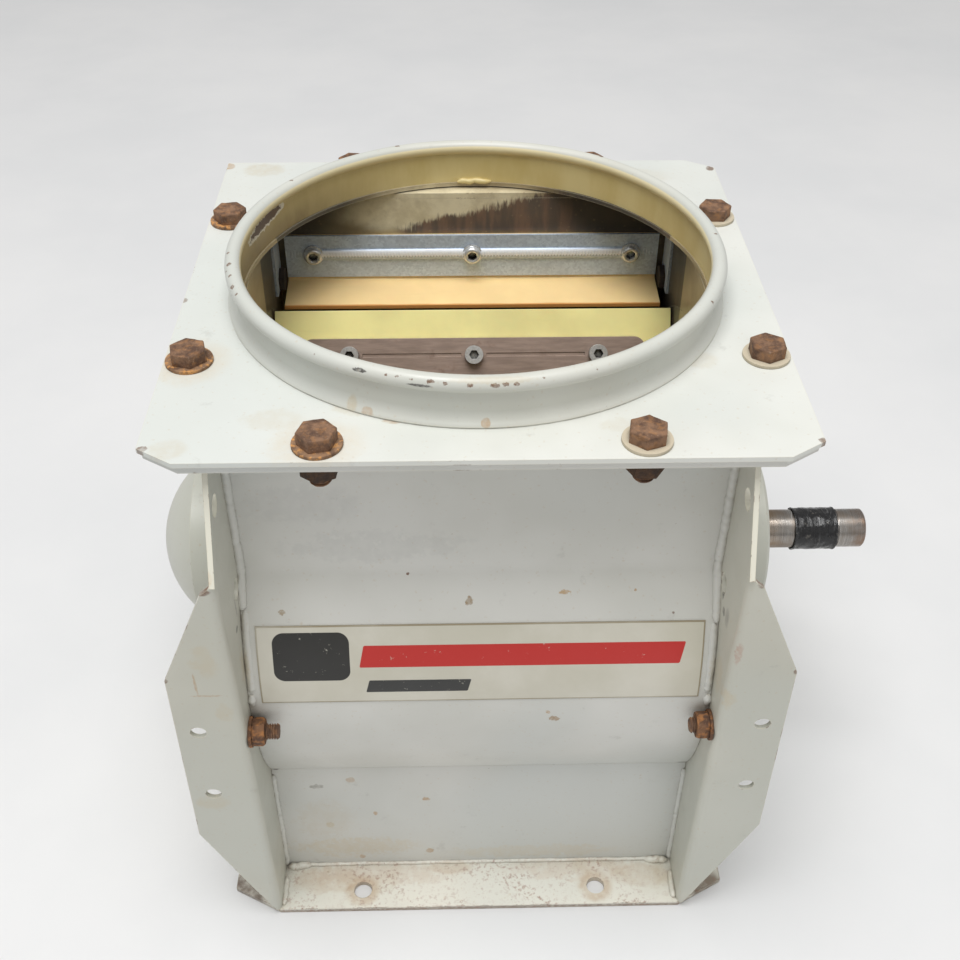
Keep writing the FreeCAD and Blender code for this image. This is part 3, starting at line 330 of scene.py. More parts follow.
def make_rust():
    """Old rust: dark brown with mid brown and orange blooms, matt and pitted."""
    given = new_group("rust", {"Orange": 0.4}, ("Color", "Height"))
    large = noise(given["Place"], 140.0, 5, 0.6)
    small = noise(given["Place"], 900.0, 4, 0.6)
    dark_to_brown = mixed(ramp(large, 0.35, 0.65), (0.075, 0.036, 0.020), (0.20, 0.105, 0.055))
    bloom = ramp(noise(given["Place"], 260.0, 4), 0.48, 0.66)
    bloom = times(bloom, given["Orange"])
    colour = mixed(bloom, dark_to_brown, (0.42, 0.185, 0.055))
    colour = mixed(ramp(small, 0.55, 0.75, 0.0, 0.4), colour, (0.32, 0.23, 0.15))
    height = plus(times(large, 0.6), times(small, 0.4))
    return put_out(color=colour, height=height)


def make_scratches():
    """Fine, long, rare scratches in two directions."""
    given = new_group("scratches", {"Amount": 0.5})
    lines = []
    for angle, scale in ((25, (900, 9, 9)), (-50, (700, 12, 12))):
        turned = stretched(given["Place"], turn=(math.radians(angle), math.radians(angle), 0.4))
        lines.append(ramp(noise(stretched(turned, scale), 1.0, 1, 0.4), 0.70, 0.74))
    both = calc("MAXIMUM", *lines)
    where = ramp(noise(given["Place"], 16.0, 2), 0.5, 0.6)
    mask = times(times(both, where), given["Amount"])
    return put_out(mask=mask)


patch, rust, scratches = make_patch(), make_rust(), make_scratches()
print("groups:", [group.name for group in bpy.data.node_groups])

# %% [markdown]
# ## Painted sheet
# The whole body is brushed and sprayed with one off-white paint, over welds and edges alike. Its copies
# differ by painted light: lighter on the upward inlet and outlet plates, darker on the end plates as
# painted shade, and the end plates' cut front edges get a painted highlight. A paint material is built
# in layers: the colour drifts a little, stains lie on it, edges are rubbed, rust comes through in specks,
# and the corners darken with grime and painted shade. Marks found at one place only are patches; the
# near-black ones in crevices are painted shade. The inside of the throat and barrel is tinted by the
# dusty product that ran through the valve, and its rear wall gets a painted pool of light in the middle
# and painted shade in its upper corners.

# %% Inside of the valve
SKIN = 0.4 * MM
THROAT_MIDDLE_Z, THROAT_HALF_HEIGHT = 351.9 * MM, 61.9 * MM
BARREL_INSIDE = BARREL - 3.5 * MM
LEDGE_Z, LEDGE_R = 405.9 * MM, 144.3 * MM


def make_inside():
    """1 on the surfaces that the product touches: inside the throat's walls, or inside the barrel."""
    given = new_group("inside", {})
    x, y, z = apart(given["Place"])
    within_x = calc("LESS_THAN", calc("ABSOLUTE", x), INNER_X + SKIN)
    within_y = calc("LESS_THAN", calc("ABSOLUTE", y), WALL_INSIDE_Y + SKIN)
    throat = times(within_y, calc("COMPARE", z, THROAT_MIDDLE_Z, THROAT_HALF_HEIGHT))
    barrel = calc("LESS_THAN", length_of(y, minus(z, AXIS_Z)), BARREL_INSIDE)
    either = times(calc("MAXIMUM", throat, barrel), within_x)
    flanges = calc("GREATER_THAN", z, LEDGE_Z)
    ledge = times(calc("LESS_THAN", length_of(x, y), LEDGE_R), flanges)
    return put_out(mask=calc("MAXIMUM", either, ledge))


inside = make_inside()

# %% Paint layers


def new_material(name):
    """An empty material with its shader, and Object coordinates to build on."""
    material = bpy.data.materials.new(name)
    material.use_nodes = True
    tree = bench["tree"] = material.node_tree
    return material, tree.nodes["Principled BSDF"], add("TexCoord").outputs["Object"]


def coat(shader, colour, rough, *layers, metal=0.0):
    """Feed a shader its colour, roughness and metal, and bumps of (height, strength, depth in metres)."""
    normal = None
    for height, strength, depth in layers:
        item = add("Bump", {"Height": height, "Strength": strength, "Distance": depth})
        if normal:
            set_sockets(item, {"Normal": normal})
        normal = item.outputs[0]
    set_sockets(shader, {"Base Color": colour, "Roughness": rough, "Metallic": metal, "Normal": normal})


def spotted(place, colour, marks):
    """Lay single marks on a colour: (centre, size, raggedness in mm, mark colour, strength)."""
    for centre, size, rag, tint, strength in marks:
        grain = min(620.0, max(60.0, 700.0 / min(size)))
        soft = 0.12 if max(size[0], size[2]) <= 5 else 0.25
        mask = use(patch, place, centre=Vector(centre) * MM, size=Vector(size) * MM, ragged=rag * MM,
                   grain=grain, soft=soft)[0]
        colour = mixed(times(mask, strength), colour, tint)
    return colour


def dusty_wall(place):
    """The throat's inner paint: tan with dust, with a painted pool of light in the middle of the rear wall
    and painted shade, near black, in its upper corners, and a rust patch that has a hairy upper edge."""
    x, y, z = apart(place)
    clouds = noise(place, 24.0, 5)
    wall = mixed(ramp(clouds, 0.35, 0.7), (0.40, 0.32, 0.17), (0.27, 0.195, 0.09))
    # A pale patch in the middle of the rear wall is a painted pool of light.
    pale = use(patch, place, centre=Vector((-25, 134, 398)) * MM, size=Vector((80, 14, 17)) * MM,
               ragged=12 * MM, grain=40.0)[0]
    wall = mixed(times(pale, 0.9), wall, (0.84, 0.76, 0.53))
    hairs = stretched(place, (1.0, 1.0, 0.16), (0.0, math.radians(-35), 0.0))
    uneven = times(minus(noise(hairs, 420.0, 4, 0.65), 0.5), 16 * MM)
    broad = times(minus(noise(place, 55.0, 3), 0.5), 14 * MM)
    slope = minus(z, times(x, 0.24))
    height = plus(plus(slope, uneven), broad)
    begin = ramp(plus(x, broad), -58 * MM, -44 * MM)
    rear = calc("GREATER_THAN", y, 0.06)
    patchy = times(times(ramp(height, 399 * MM, 394 * MM), begin), rear)
    brown = mixed(ramp(noise(hairs, 120.0, 4), 0.4, 0.62), (0.05, 0.026, 0.018), (0.14, 0.065, 0.035))
    wall = mixed(times(patchy, 0.95), wall, brown)
    # The rear wall's upper corners are painted near black: painted shade.
    left = ramp(plus(x, times(z, -0.9)), -0.425, -0.465)
    right = ramp(plus(x, times(z, 0.6)), 0.285, 0.325)
    corners = times(calc("MAXIMUM", left, right), rear)
    return mixed(times(corners, 0.94), wall, (0.014, 0.009, 0.006))


RUST_TAN = (0.46, 0.29, 0.14)
RUST_BROWN = (0.16, 0.075, 0.035)
DUST = (0.56, 0.48, 0.33)


def paint(name, colour, stain=0.2, speck=0.03, wear=0.45, grime_and_shade_amount=0.6, marks=(), tinted=False, pink=0.0,
          lit_cut_edges=False):
    """Old sprayed paint on steel sheet."""
    material, shader, place = new_material(name)
    pale = scaled(colour, 1.03)
    dull = scaled(colour, 0.93, 0.93, 0.91)
    layer = mixed(ramp(noise(place, 9.0, 3), 0.35, 0.65), pale, dull)
    cool = ramp(noise(place, 4.5, 2), 0.42, 0.62, 0.0, 0.7)
    layer = mixed(cool, layer, scaled(colour, 0.93, 0.965, 0.99))
    stained = use(stains, place, scale=17.0, cover=stain)[0]
    layer = mixed(times(stained, 0.4), layer, (0.53, 0.45, 0.30))
    smudge = ramp(noise(place, 60.0, 6, 0.7), 0.62, 0.72, 0.0, 0.22)
    layer = mixed(smudge, layer, (0.36, 0.35, 0.32))
    layer = spotted(place, layer, marks)
    # On the upper end plates, a pale band along the cut front edges is a painted highlight.
    if lit_cut_edges:
        x, y, z = apart(place)
        across = calc("ABSOLUTE", minus(calc("ABSOLUTE", x), INNER_X + 1.5 * MM))
        rim = times(calc("LESS_THAN", across, 1.38 * MM),
                   times(calc("LESS_THAN", y, -0.15), calc("GREATER_THAN", z, 0.341)))
        layer = mixed(times(rim, 0.66), layer, (0.86, 0.83, 0.70))
    if pink:
        worn = ramp(noise(place, 330.0, 8, 0.72), 0.635 - 0.2 * pink, 0.75 - 0.2 * pink)
        crowd = ramp(noise(place, 28.0, 4), 0.40, 0.62, 0.15, 0.75)
        layer = mixed(times(worn, crowd), layer, (0.37, 0.22, 0.165))
    if tinted:
        within = use(inside, place)[0]
        layer = mixed(times(within, 0.93), layer, dusty_wall(place))
    # Inner corners darken by occlusion, partly as grime and partly as painted shade.
    grime_and_shade_mask = use(grime_and_shade, place, amount=grime_and_shade_amount)[0]
    layer = mixed(grime_and_shade_mask, layer, (0.23, 0.20, 0.145))
    pits = use(specks, place, scale=210.0, cover=speck)
    layer = mixed(times(pits["Halo"], 0.3), layer, (0.50, 0.36, 0.20))
    dots = use(specks, place, scale=480.0, cover=0.05 + speck)[0]
    crowded = ramp(noise(place, 13.0, 4), 0.46, 0.62)
    layer = mixed(times(times(dots, crowded), 0.75), layer, (0.26, 0.20, 0.14))
    edges = use(edge_wear, place, wear=wear)
    rusted = use(rust, place, orange=0.45)
    layer = mixed(times(edges["Rubbed"], 0.35), layer, (0.72, 0.67, 0.52))
    bare = calc("MAXIMUM", edges["Bare"], times(pits["Mask"], 0.75))
    layer = mixed(bare, layer, rusted["Color"])
    rough = plus(ramp(noise(place, 30.0, 4), 0.3, 0.7, 0.30, 0.46), times(bare, 0.4))
    coat(shader, layer, rough, (noise(place, 7.0, 2), 0.25, 0.004), (noise(place, 520.0, 2), 0.10, 0.0003),
         (minus(1.0, bare), 0.5, 0.0002))
    return material


# %% Marks on the body
body_marks = [
    ((-36, -141, 19), (3, 4, 2.5), 3, RUST_TAN, 0.7), ((-86, -141, 13), (2.5, 4, 2), 3, RUST_TAN, 0.6),
    ((-107, -141, 53), (3, 4, 3), 4, DUST, 0.7), ((-89, -141, 105), (3, 4, 3), 3, RUST_TAN, 0.5),
    ((-43, -140, 299), (1.0, 4, 0.9), 1.5, RUST_BROWN, 0.9),
    ((-7, -147.6, 284), (2.2, 6, 2.6), 5, (0.30, 0.20, 0.10), 0.9),
    ((46, -166, 198), (3.6, 6, 2.4), 8, (0.34, 0.22, 0.11), 0.9),
    ((92, -146, 289), (0.9, 6, 0.7), 1.5, RUST_TAN, 0.9), ((-157, -190, 283), (7, 6, 13), 16, DUST, 0.4),
    ((-152, -188, 236), (5, 6, 9), 14, DUST, 0.35), ((-171, -184, 143), (10, 6, 8), 14, DUST, 0.35),
    ((146, -188, 282), (2.0, 8, 9), 5, (0.42, 0.17, 0.10), 0.4),
    ((146, -186, 240), (4, 8, 8), 12, DUST, 0.5), ((-165, -190, 262), (0.7, 6, 10), 2, RUST_TAN, 0.6),
    ((-160, -189, 252), (9, 6, 0.7), 3, RUST_TAN, 0.5),
    ((-90, -141, 26), (46, 4, 11), 24, (0.60, 0.50, 0.33), 0.4),
    ((40, -141, 16), (60, 4, 7), 20, (0.60, 0.50, 0.33), 0.3),
    ((-110, -141, 60), (20, 4, 22), 22, (0.55, 0.47, 0.34), 0.25),
    # These near-black and dark grey marks are painted shade in the crevices where the barrel, the throat and
    # the outlet panel meet the end plates.
    ((-141, -164, 280), (3, 3, 2.5), 2.5, (0.05, 0.04, 0.03), 0.9),
    ((-139, -142.5, 119), (3, 3, 1.6), 2, (0.05, 0.04, 0.03), 0.9),
    ((139, -142.5, 120), (3.5, 3, 1.8), 2, (0.05, 0.04, 0.03), 0.9),
    ((142, -153, 295), (1.5, 2.5, 6), 2.5, (0.05, 0.045, 0.04), 0.9),
    ((142, -160, 285), (1.5, 3, 3), 2.5, (0.09, 0.08, 0.07), 0.7),
    ((-142, -158, 292), (1.5, 1.2, 7), 1.5, (0.2, 0.19, 0.17), 0.7),
    ((-146, -170, 404), (4, 6, 5), 3, RUST_BROWN, 0.9),
    ((-150, -191, 339), (5, 4, 3.5), 2.5, RUST_BROWN, 0.95),
    ((150, -191, 339), (4, 4, 3), 2.5, RUST_BROWN, 0.9),
    ((-146.5, -192, 348), (3, 2.4, 6), 2, RUST_TAN, 0.8),
    ((-182, -188, 266), (2.5, 4, 3), 2, RUST_BROWN, 0.8),
    ((182, -188, 266), (2.5, 4, 3), 2, RUST_BROWN, 0.8),
    # Painted shade in the crevice beside the right end plate.
    ((141, -168, 288), (2.5, 5, 8), 3, (0.2, 0.19, 0.17), 0.5),
    ((-141, -166, 250), (2, 7, 18), 5, DUST, 0.5), ((141, -172, 244), (3, 10, 16), 6, DUST, 0.4),
    ((-60, -140, 320), (60, 5, 12), 22, (0.42, 0.42, 0.40), 0.2),
    ((-100, -139, 352), (34, 5, 14), 18, (0.40, 0.40, 0.39), 0.2),
    ((50, -146, 288.5), (3.6, 5, 1.3), 7, (0.50, 0.34, 0.18), 0.9),
    ((115, -151, 276), (0.8, 6, 0.8), 1.5, RUST_BROWN, 0.8),
    ((-133, -163, 266), (3, 6, 3), 2.5, RUST_TAN, 0.7),
    ((42, -166, 204.5), (1.6, 5, 1.4), 5, RUST_TAN, 0.8),
    ((-118, -150, 279), (2.0, 5, 1.4), 4, (0.34, 0.24, 0.13), 0.8),
    ((-113, -141, 98), (5, 4, 2.2), 6, (0.26, 0.24, 0.20), 0.7),
    ((-37, -141, 82), (2.4, 4, 2.0), 6, RUST_TAN, 0.8),
    ((-74, -141, 66), (1.6, 4, 2.0), 4, RUST_TAN, 0.7),
]
body_paint = paint("painted_body", (0.655, 0.65, 0.61), stain=0.24, speck=0.02, wear=0.5, grime_and_shade_amount=0.7,
                   marks=body_marks, tinted=True)
# The end plates and bearing housings get a darker, yellower copy of the body's paint; the darkening is
# painted shade on these side plates.
shaded_side_paint = paint("painted_end_plates", (0.60, 0.59, 0.515), stain=0.3, speck=0.025, wear=0.55, grime_and_shade_amount=0.7,
                   marks=body_marks, tinted=True, lit_cut_edges=True)
plate_marks = [
    ((-67, -131, 414), (12, 7, 5), 9, DUST, 0.3), ((-110, -141, 414), (16, 9, 5), 10, DUST, 0.25),
    ((-161, -166, 414), (10, 8, 5), 8, DUST, 0.3), ((-150, 165, 414), (14, 10, 5), 10, DUST, 0.4),
    ((-100, -99, 414), (8, 8, 5), 8, DUST, 0.25), ((72, -149, 414), (10, 6, 5), 8, DUST, 0.2),
    ((125, -88, 414), (10, 8, 5), 8, DUST, 0.25), ((-174, -165, 412), (3, 2.5, 5), 3.5, RUST_BROWN, 0.8),
    ((176, -164, 412), (2.5, 2.5, 5), 3.5, RUST_BROWN, 0.8),
    ((-176, 171, 413), (4, 5, 4), 2.5, RUST_TAN, 0.7), ((174, 163, 413), (3, 4, 4), 2, RUST_BROWN, 0.8),
    ((-46, -143, 414), (6, 2.5, 5), 3, RUST_TAN, 0.5), ((-178, -18, 413), (3, 3, 4), 2, RUST_BROWN, 0.6),
    ((-85, -163, 414), (24, 21, 5), 12, (0.66, 0.57, 0.42), 0.35),
    ((-163, -85, 414), (22, 22, 5), 12, (0.66, 0.57, 0.42), 0.4),
    ((100, 150, 414), (40, 16, 5), 14, DUST, 0.25),
]
# The inlet plate gets a lighter copy of the same paint: painted light on its upward face.
top_paint = paint("painted_inlet_plate", (0.705, 0.71, 0.665), stain=0.16, speck=0.012, wear=0.45, grime_and_shade_amount=0.35,
                  marks=plate_marks, tinted=True)
base_marks = [
    ((-110, -155, 4), (26, 10, 6), 10, RUST_TAN, 0.3), ((119, -155, 4), (22, 9, 6), 9, RUST_TAN, 0.3),
    ((-85, -163, 4), (12, 12, 6), 6, RUST_TAN, 0.5), ((85, -163, 4), (12, 12, 6), 6, RUST_TAN, 0.5),
    ((-21, -146, 4), (16, 5, 6), 6, RUST_TAN, 0.3),
    # Two dark brown patches lie on the plate at its front corners.
    ((-170, -165, 3), (14, 22, 6), 8, (0.10, 0.06, 0.04), 0.9),
    ((168, -168, 3), (12, 16, 6), 7, (0.17, 0.11, 0.07), 0.8),
    # A thin dark line along the plate's front edge face is painted shade below its top edge.
    ((0, -177.6, 1.2), (190, 1.2, 2.0), 1.5, RUST_BROWN, 0.75),
    ((-80, -150, 4), (60, 9, 6), 24, (0.58, 0.44, 0.32), 0.35),
    ((70, -148, 4), (50, 8, 6), 24, (0.58, 0.44, 0.32), 0.3),
]
# The outlet plate gets a lighter copy of the paint, with pink-brown grains; the lightening is painted light
# on its upward face.
lit_base_paint = paint("painted_outlet_plate", (0.78, 0.755, 0.67), stain=0.5, speck=0.05, wear=0.7, grime_and_shade_amount=0.7,
                   marks=base_marks, pink=0.62)
print("paints:", body_paint.name, shaded_side_paint.name, top_paint.name, lit_base_paint.name)

# %% [markdown]
# The collar is painted like the plate, but inside it the product has stained it yellow and tan, and
# most of all on the left, where it is also flaking. The stain follows the wall round, so the mask is
# the distance from the collar's middle: only the inner wall is tinted.

# %% Paint for the collar
COLLAR_INNER = 144 * MM
FLAKE = Vector((-134, 49, 431)) * MM


def make_collar_paint():
    """The plate's paint outside, and yellowed paint inside."""
    soot = (0.04, 0.034, 0.03)
    chips = [
        (-148, -13, 443, 1.1), (-146, -27, 443.5, 1.8), (-147, -33, 442, 1.0), (-143, -40, 443, 1.2),
        (-141, -52, 442.5, 2.2), (-137, -60, 443, 1.0), (-120, 84, 444, 1.2), (-52, 137, 444, 1.4),
        (88, 118, 444, 1.2), (147, 6, 444, 1.0), (131, -72, 442, 0.9), (-49.8, -142, 442.6, 1.2),
        (-44, -144, 442.8, 1.6), (-37, -146, 442.5, 1.3), (-26.6, -148, 442, 1.8),
        (-19, -149.3, 441.6, 1.2), (-6.4, -150, 441, 1.3), (6.4, -150.3, 440.8, 2.0),
        (12, -150, 441.4, 1.5), (17.6, -149.5, 441.2, 1.4), (32, -147, 443, 1.6), (36, -146, 443.4, 1.1),
        (60, -138, 442.6, 1.2), (-88, -122, 442.6, 0.9),
    ]
    marks = [((x, y, z), (size * 1.3, size * 0.9, 1.2), 2.6, RUST_BROWN, 0.95) for x, y, z, size in chips]
    marks += [((-12, 142.6, 415), (2.5, 2.5, 2.5), 1.5, RUST_BROWN, 0.95)]
    marks += [
        ((-64, -136.3, 441.5), (5, 2.6, 1.0), 1.6, soot, 0.9),
        ((-33, -147.6, 439.2), (7, 3, 0.8), 1.2, soot, 0.95),
        ((2, -150, 417), (2.5, 3, 3), 2, RUST_TAN, 0.7), ((-69, -133, 419), (3, 4, 6), 3, DUST, 0.6),
        ((12, -149, 443), (30, 3, 1.6), 2.4, DUST, 0.4), ((-61, -140, 417), (4, 5, 3), 3, RUST_TAN, 0.5),
    ]
    material = paint("painted_collar", (0.625, 0.625, 0.57), stain=0.22, speck=0.02, wear=0.3, grime_and_shade_amount=0.5,
                     marks=marks)
    nodes = material.node_tree.nodes
    shader = nodes["Principled BSDF"]
    place = next(n for n in nodes if n.bl_idname == "ShaderNodeTexCoord").outputs["Object"]
    outside = shader.inputs["Base Color"].links[0].from_socket
    x, y, z = apart(place)
    radius = length_of(x, y)
    lip = times(ramp(z, 439 * MM, 441.5 * MM), 3.2 * MM)
    wall = ramp(plus(radius, lip), COLLAR_INNER + 1.4 * MM, COLLAR_INNER + 0.2 * MM)
    left = ramp(x, -0.03, -0.15)
    clouds = noise(stretched(place, (1, 1, 0.4)), 26.0, 5)
    yellow = mixed(ramp(clouds, 0.35, 0.68), (0.78, 0.65, 0.31), (0.66, 0.515, 0.19))
    yellow = mixed(ramp(z, 431 * MM, 441 * MM, 0.0, 0.75), yellow, (0.97, 0.87, 0.58))
    brown = mixed(ramp(clouds, 0.4, 0.65), (0.26, 0.185, 0.075), (0.085, 0.05, 0.02))
    low = ramp(z, 440 * MM, 415 * MM, 0.15, 1.0)
    tint = mixed(times(left, low), yellow, brown)
    lean = times(minus(y, FLAKE.y), 0.07)
    slanted = add("CombineXYZ", {0: x, 1: y, 2: minus(z, lean)}).outputs[0]
    flake = []
    for grow in (1.0, 1.22):
        size = Vector((20, 22 * grow, 3.2 * grow * grow)) * MM
        flake.append(use(patch, slanted, centre=FLAKE, size=size, ragged=9 * MM, grain=260.0, soft=0.12)[0])
    flake = [ramp(mask, 0.35, 0.5) for mask in flake]
    tint = mixed(flake[1], tint, (0.80, 0.76, 0.64))
    tint = mixed(flake[0], tint, (0.12, 0.065, 0.045))
    final = mixed(times(wall, 0.93), outside, tint)
    set_sockets(shader, {"Base Color": final})
    return material


collar_paint = make_collar_paint()

# %% [markdown]
# ## Rust, bare steel and zinc
# The bolts have no paint left. Bolt heads are dark brown with a rough skin, the thin nuts and washers
# are more orange. Bare steel differs in its lines: turned parts have rings, sheets have a grain, and
# hot zinc cools in flat crystals called spangle.

# %% Rusty fasteners


def rusty(name, orange, wear=0.35, paint_left=0.0, tint=(1.0, 1.0, 1.0)):
    """Rusted steel, with some old paint or bright edges left."""
    material, shader, place = new_material(name)
    rusted = use(rust, place, orange=orange)
    layer = mixed(1.0, rusted["Color"], tint, "MULTIPLY")
    edges = use(edge_wear, place, width=0.0009, wear=wear)
    layer = mixed(times(edges["Bare"], 0.55), layer, (0.34, 0.27, 0.22))
    if paint_left:
        x = apart(place)[0]
        level = plus(ramp(x, -0.03, 0.03, 0.0, 0.55), noise(place, 75.0, 5, 0.65))
        left = ramp(level, 1.05 - 0.6 * paint_left, 1.12 - 0.6 * paint_left)
        layer = mixed(left, layer, (0.60, 0.53, 0.40))
    # Crevices of the fasteners darken to near black by occlusion: painted shade, with some grime.
    grime_and_shade_mask = use(grime_and_shade, place, reach=0.005, amount=0.8)[0]
    layer = mixed(grime_and_shade_mask, layer, (0.035, 0.02, 0.012))
    coat(shader, layer, ramp(rusted["Height"], 0.3, 0.7, 0.62, 0.88),
         (rusted["Height"], 0.8, 0.0008), (noise(place, 1600.0, 3), 0.4, 0.0002), metal=0.15)
    return material


rusty_bolt = rusty("rusty_bolt_heads", 0.25, tint=(1.35, 1.45, 1.6))
rusty_nut = rusty("rusty_nuts", 0.6, tint=(1.2, 1.15, 1.1))
rusty_washer = rusty("rusty_washers", 0.9, paint_left=0.55, tint=(1.7, 1.9, 2.0))
# The nuts under the inlet plate are painted darker: painted shade beneath the plate.
shaded_inlet_nut = rusty("shaded_rusty_nuts", 0.2, tint=(0.42, 0.42, 0.42))
dark_bolt = rusty("dark_bolts", 0.05, wear=0.15, tint=(0.25, 0.36, 0.55))

# %% Bare steel


def steel(name, colour, rough, lines, line_depth, tarnish=0.3, brown=(0.20, 0.12, 0.075), metal=0.92,
          hollow_shade=1.0):
    """Bare steel. Lines stretch the grain along one axis: (x, y, z) scales of the noise."""
    material, shader, place = new_material(name)
    grain = noise(stretched(place, lines), 1.0, 4, 0.6)
    clouds = noise(place, 45.0, 5, 0.6)
    bright = scaled(colour, 1.12)
    layer = mixed(ramp(grain, 0.3, 0.7), scaled(colour, 0.86), bright)
    layer = mixed(ramp(clouds, 0.72 - 0.4 * tarnish, 0.9 - 0.4 * tarnish), layer, brown)
    edges = use(edge_wear, place, width=0.0006, wear=0.9)
    layer = mixed(times(edges["Bare"], 0.5), layer, bright)
    # Hollows such as screw sockets darken to near black by occlusion: painted shade, with some grime.
    grime_and_shade_mask = use(grime_and_shade, place, reach=0.006, amount=1.0)[0]
    layer = mixed(ramp(grime_and_shade_mask, 0.0, hollow_shade), layer, (0.018, 0.014, 0.011))
    coat(shader, layer, ramp(clouds, 0.3, 0.75, rough - 0.07, rough + 0.12),
         (grain, 0.35, line_depth), (clouds, 0.2, 0.0004), metal=metal)
    return material


screw_steel = steel("steel_screws", (0.72, 0.73, 0.73), 0.22, (900, 900, 900), 0.00004, tarnish=0.05,
                    metal=0.6, hollow_shade=0.45)
clamp_screw_steel = steel("dark_clamp_screws", (0.46, 0.455, 0.44), 0.38, (900, 900, 900), 0.00004,
                          tarnish=0.14, metal=0.5, hollow_shade=0.35)
bearing_steel = steel("ground_steel", (0.60, 0.60, 0.58), 0.24, (1800, 60, 60), 0.00005, tarnish=0.05)
rotor_steel = steel("rotor_drum_steel", (0.30, 0.22, 0.16), 0.5, (20, 400, 400), 0.0002, tarnish=0.6)
clamp_steel = steel("brown_clamp_strips", (0.34, 0.255, 0.21), 0.44, (60, 420, 420), 0.0001, tarnish=0.35,
                    brown=(0.19, 0.115, 0.08), metal=0.5)
print("steels:", [m.name for m in bpy.data.materials if "steel" in m.name])

# %% Spangled zinc
RIB_Z = 365 * MM
STRIP_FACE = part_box("scraper_strip")[1].y - 2 * MM


def make_zinc():
    """Hot-dipped zinc: crystals of slightly different greys, with fine feathered lines, and a painted
    highlight along the upper half of the pressed rib.
    """
    material, shader, place = new_material("spangled_zinc")
    cells = add("TexVoronoi", {"Vector": ragged(place, 260.0, 3.0, 0.5, 0.003), "Scale": 620.0})
    shade = add("SeparateColor", {0: cells.outputs["Color"]}).outputs[0]
    layer = mixed(shade, (0.45, 0.53, 0.64), (0.60, 0.69, 0.80))
    dull = ramp(noise(place, 35.0, 5), 0.42, 0.68, 0.0, 0.3)
    layer = mixed(dull, layer, (0.42, 0.46, 0.52))
    # Corners of the zinc darken by occlusion: partly grime, partly painted shade.
    grime_and_shade_mask = use(grime_and_shade, place, reach=0.003, amount=0.5)[0]
    layer = mixed(grime_and_shade_mask, layer, (0.07, 0.06, 0.05))
    x, y, z = apart(place)
    rows = calc("SINE", times(x, 2 * math.pi / (2.2 * MM)))
    height = minus(z, RIB_Z)
    rib = ramp(calc("ABSOLUTE", height), 3.0 * MM, 1.5 * MM)
    on_strip = calc("LESS_THAN", calc("ABSOLUTE", x), 0.12)
    proud = times(on_strip, ramp(y, STRIP_FACE - 0.9 * MM, STRIP_FACE - 1.7 * MM))
    # The upper half of the rib is painted near white: a painted highlight.
    painted_rib_highlight = times(proud, ramp(height, -1.6 * MM, -0.4 * MM))
    layer = mixed(times(painted_rib_highlight, 0.85), layer, (0.98, 0.985, 1.0))
    from_dashes = calc("ABSOLUTE", plus(height, 1.0 * MM))
    pressed = times(proud, ramp(from_dashes, 0.9 * MM, 0.4 * MM))
    layer = mixed(times(pressed, ramp(rows, 0.1, 0.7, 0.0, 0.55)), layer, (0.24, 0.25, 0.26))
    coat(shader, layer, ramp(shade, 0.0, 1.0, 0.30, 0.46), (noise(place, 120.0, 3), 0.15, 0.0006),
         (times(rows, rib), 0.5, 0.0002), metal=0.2)
    return material


zinc_sheet = make_zinc()

# %% [markdown]
# ## Shaft, rubber and plastic
# The shaft stub is turned steel that hands and couplings have polished. It is bright at its end and
# browner by the housing. The vanes and the wiping flap are polyurethane sheet: smooth, waxy and a bit
# clear, so light goes into them. The flap has gone tan, and its wiping edge is darker.

# %% Shaft steel


def make_shaft_steel():
    """Bright turned steel with rings round the shaft, brown near the housing."""
    material, shader, place = new_material("turned_shaft_steel")
    x = apart(place)[0]
    rings = noise(stretched(place, (2600, 30, 30)), 1.0, 3)
    clouds = noise(place, 60.0, 5, 0.6)
    layer = mixed(ramp(rings, 0.3, 0.7), (0.24, 0.225, 0.21), (0.42, 0.40, 0.375))
    layer = mixed(ramp(clouds, 0.42, 0.62, 0.0, 0.6), layer, (0.25, 0.195, 0.15))
    warm = times(ramp(x, 228 * MM, 206 * MM), ramp(clouds, 0.25, 0.6, 0.35, 1.0))
    layer = mixed(times(warm, 0.75), layer, (0.30, 0.185, 0.09))
    tip = ramp(x, 269 * MM, 282 * MM)
    layer = mixed(times(tip, ramp(clouds, 0.35, 0.6, 0.2, 0.8)), layer, (0.24, 0.15, 0.10))
    marks = use(scratches, place, amount=0.8)[0]
    layer = mixed(marks, layer, (0.75, 0.74, 0.72))
    # The shaft darkens by occlusion where it enters the housing and key: partly grime, partly painted shade.
    grime_and_shade_mask = use(grime_and_shade, place, reach=0.005, amount=0.9)[0]
    layer = mixed(grime_and_shade_mask, layer, (0.05, 0.032, 0.02))
    coat(shader, layer, ramp(clouds, 0.3, 0.7, 0.22, 0.40),
         (rings, 0.4, 0.00006), (clouds, 0.15, 0.0003), metal=0.95)
    return material


shaft_steel = make_shaft_steel()

# %% Polyurethane


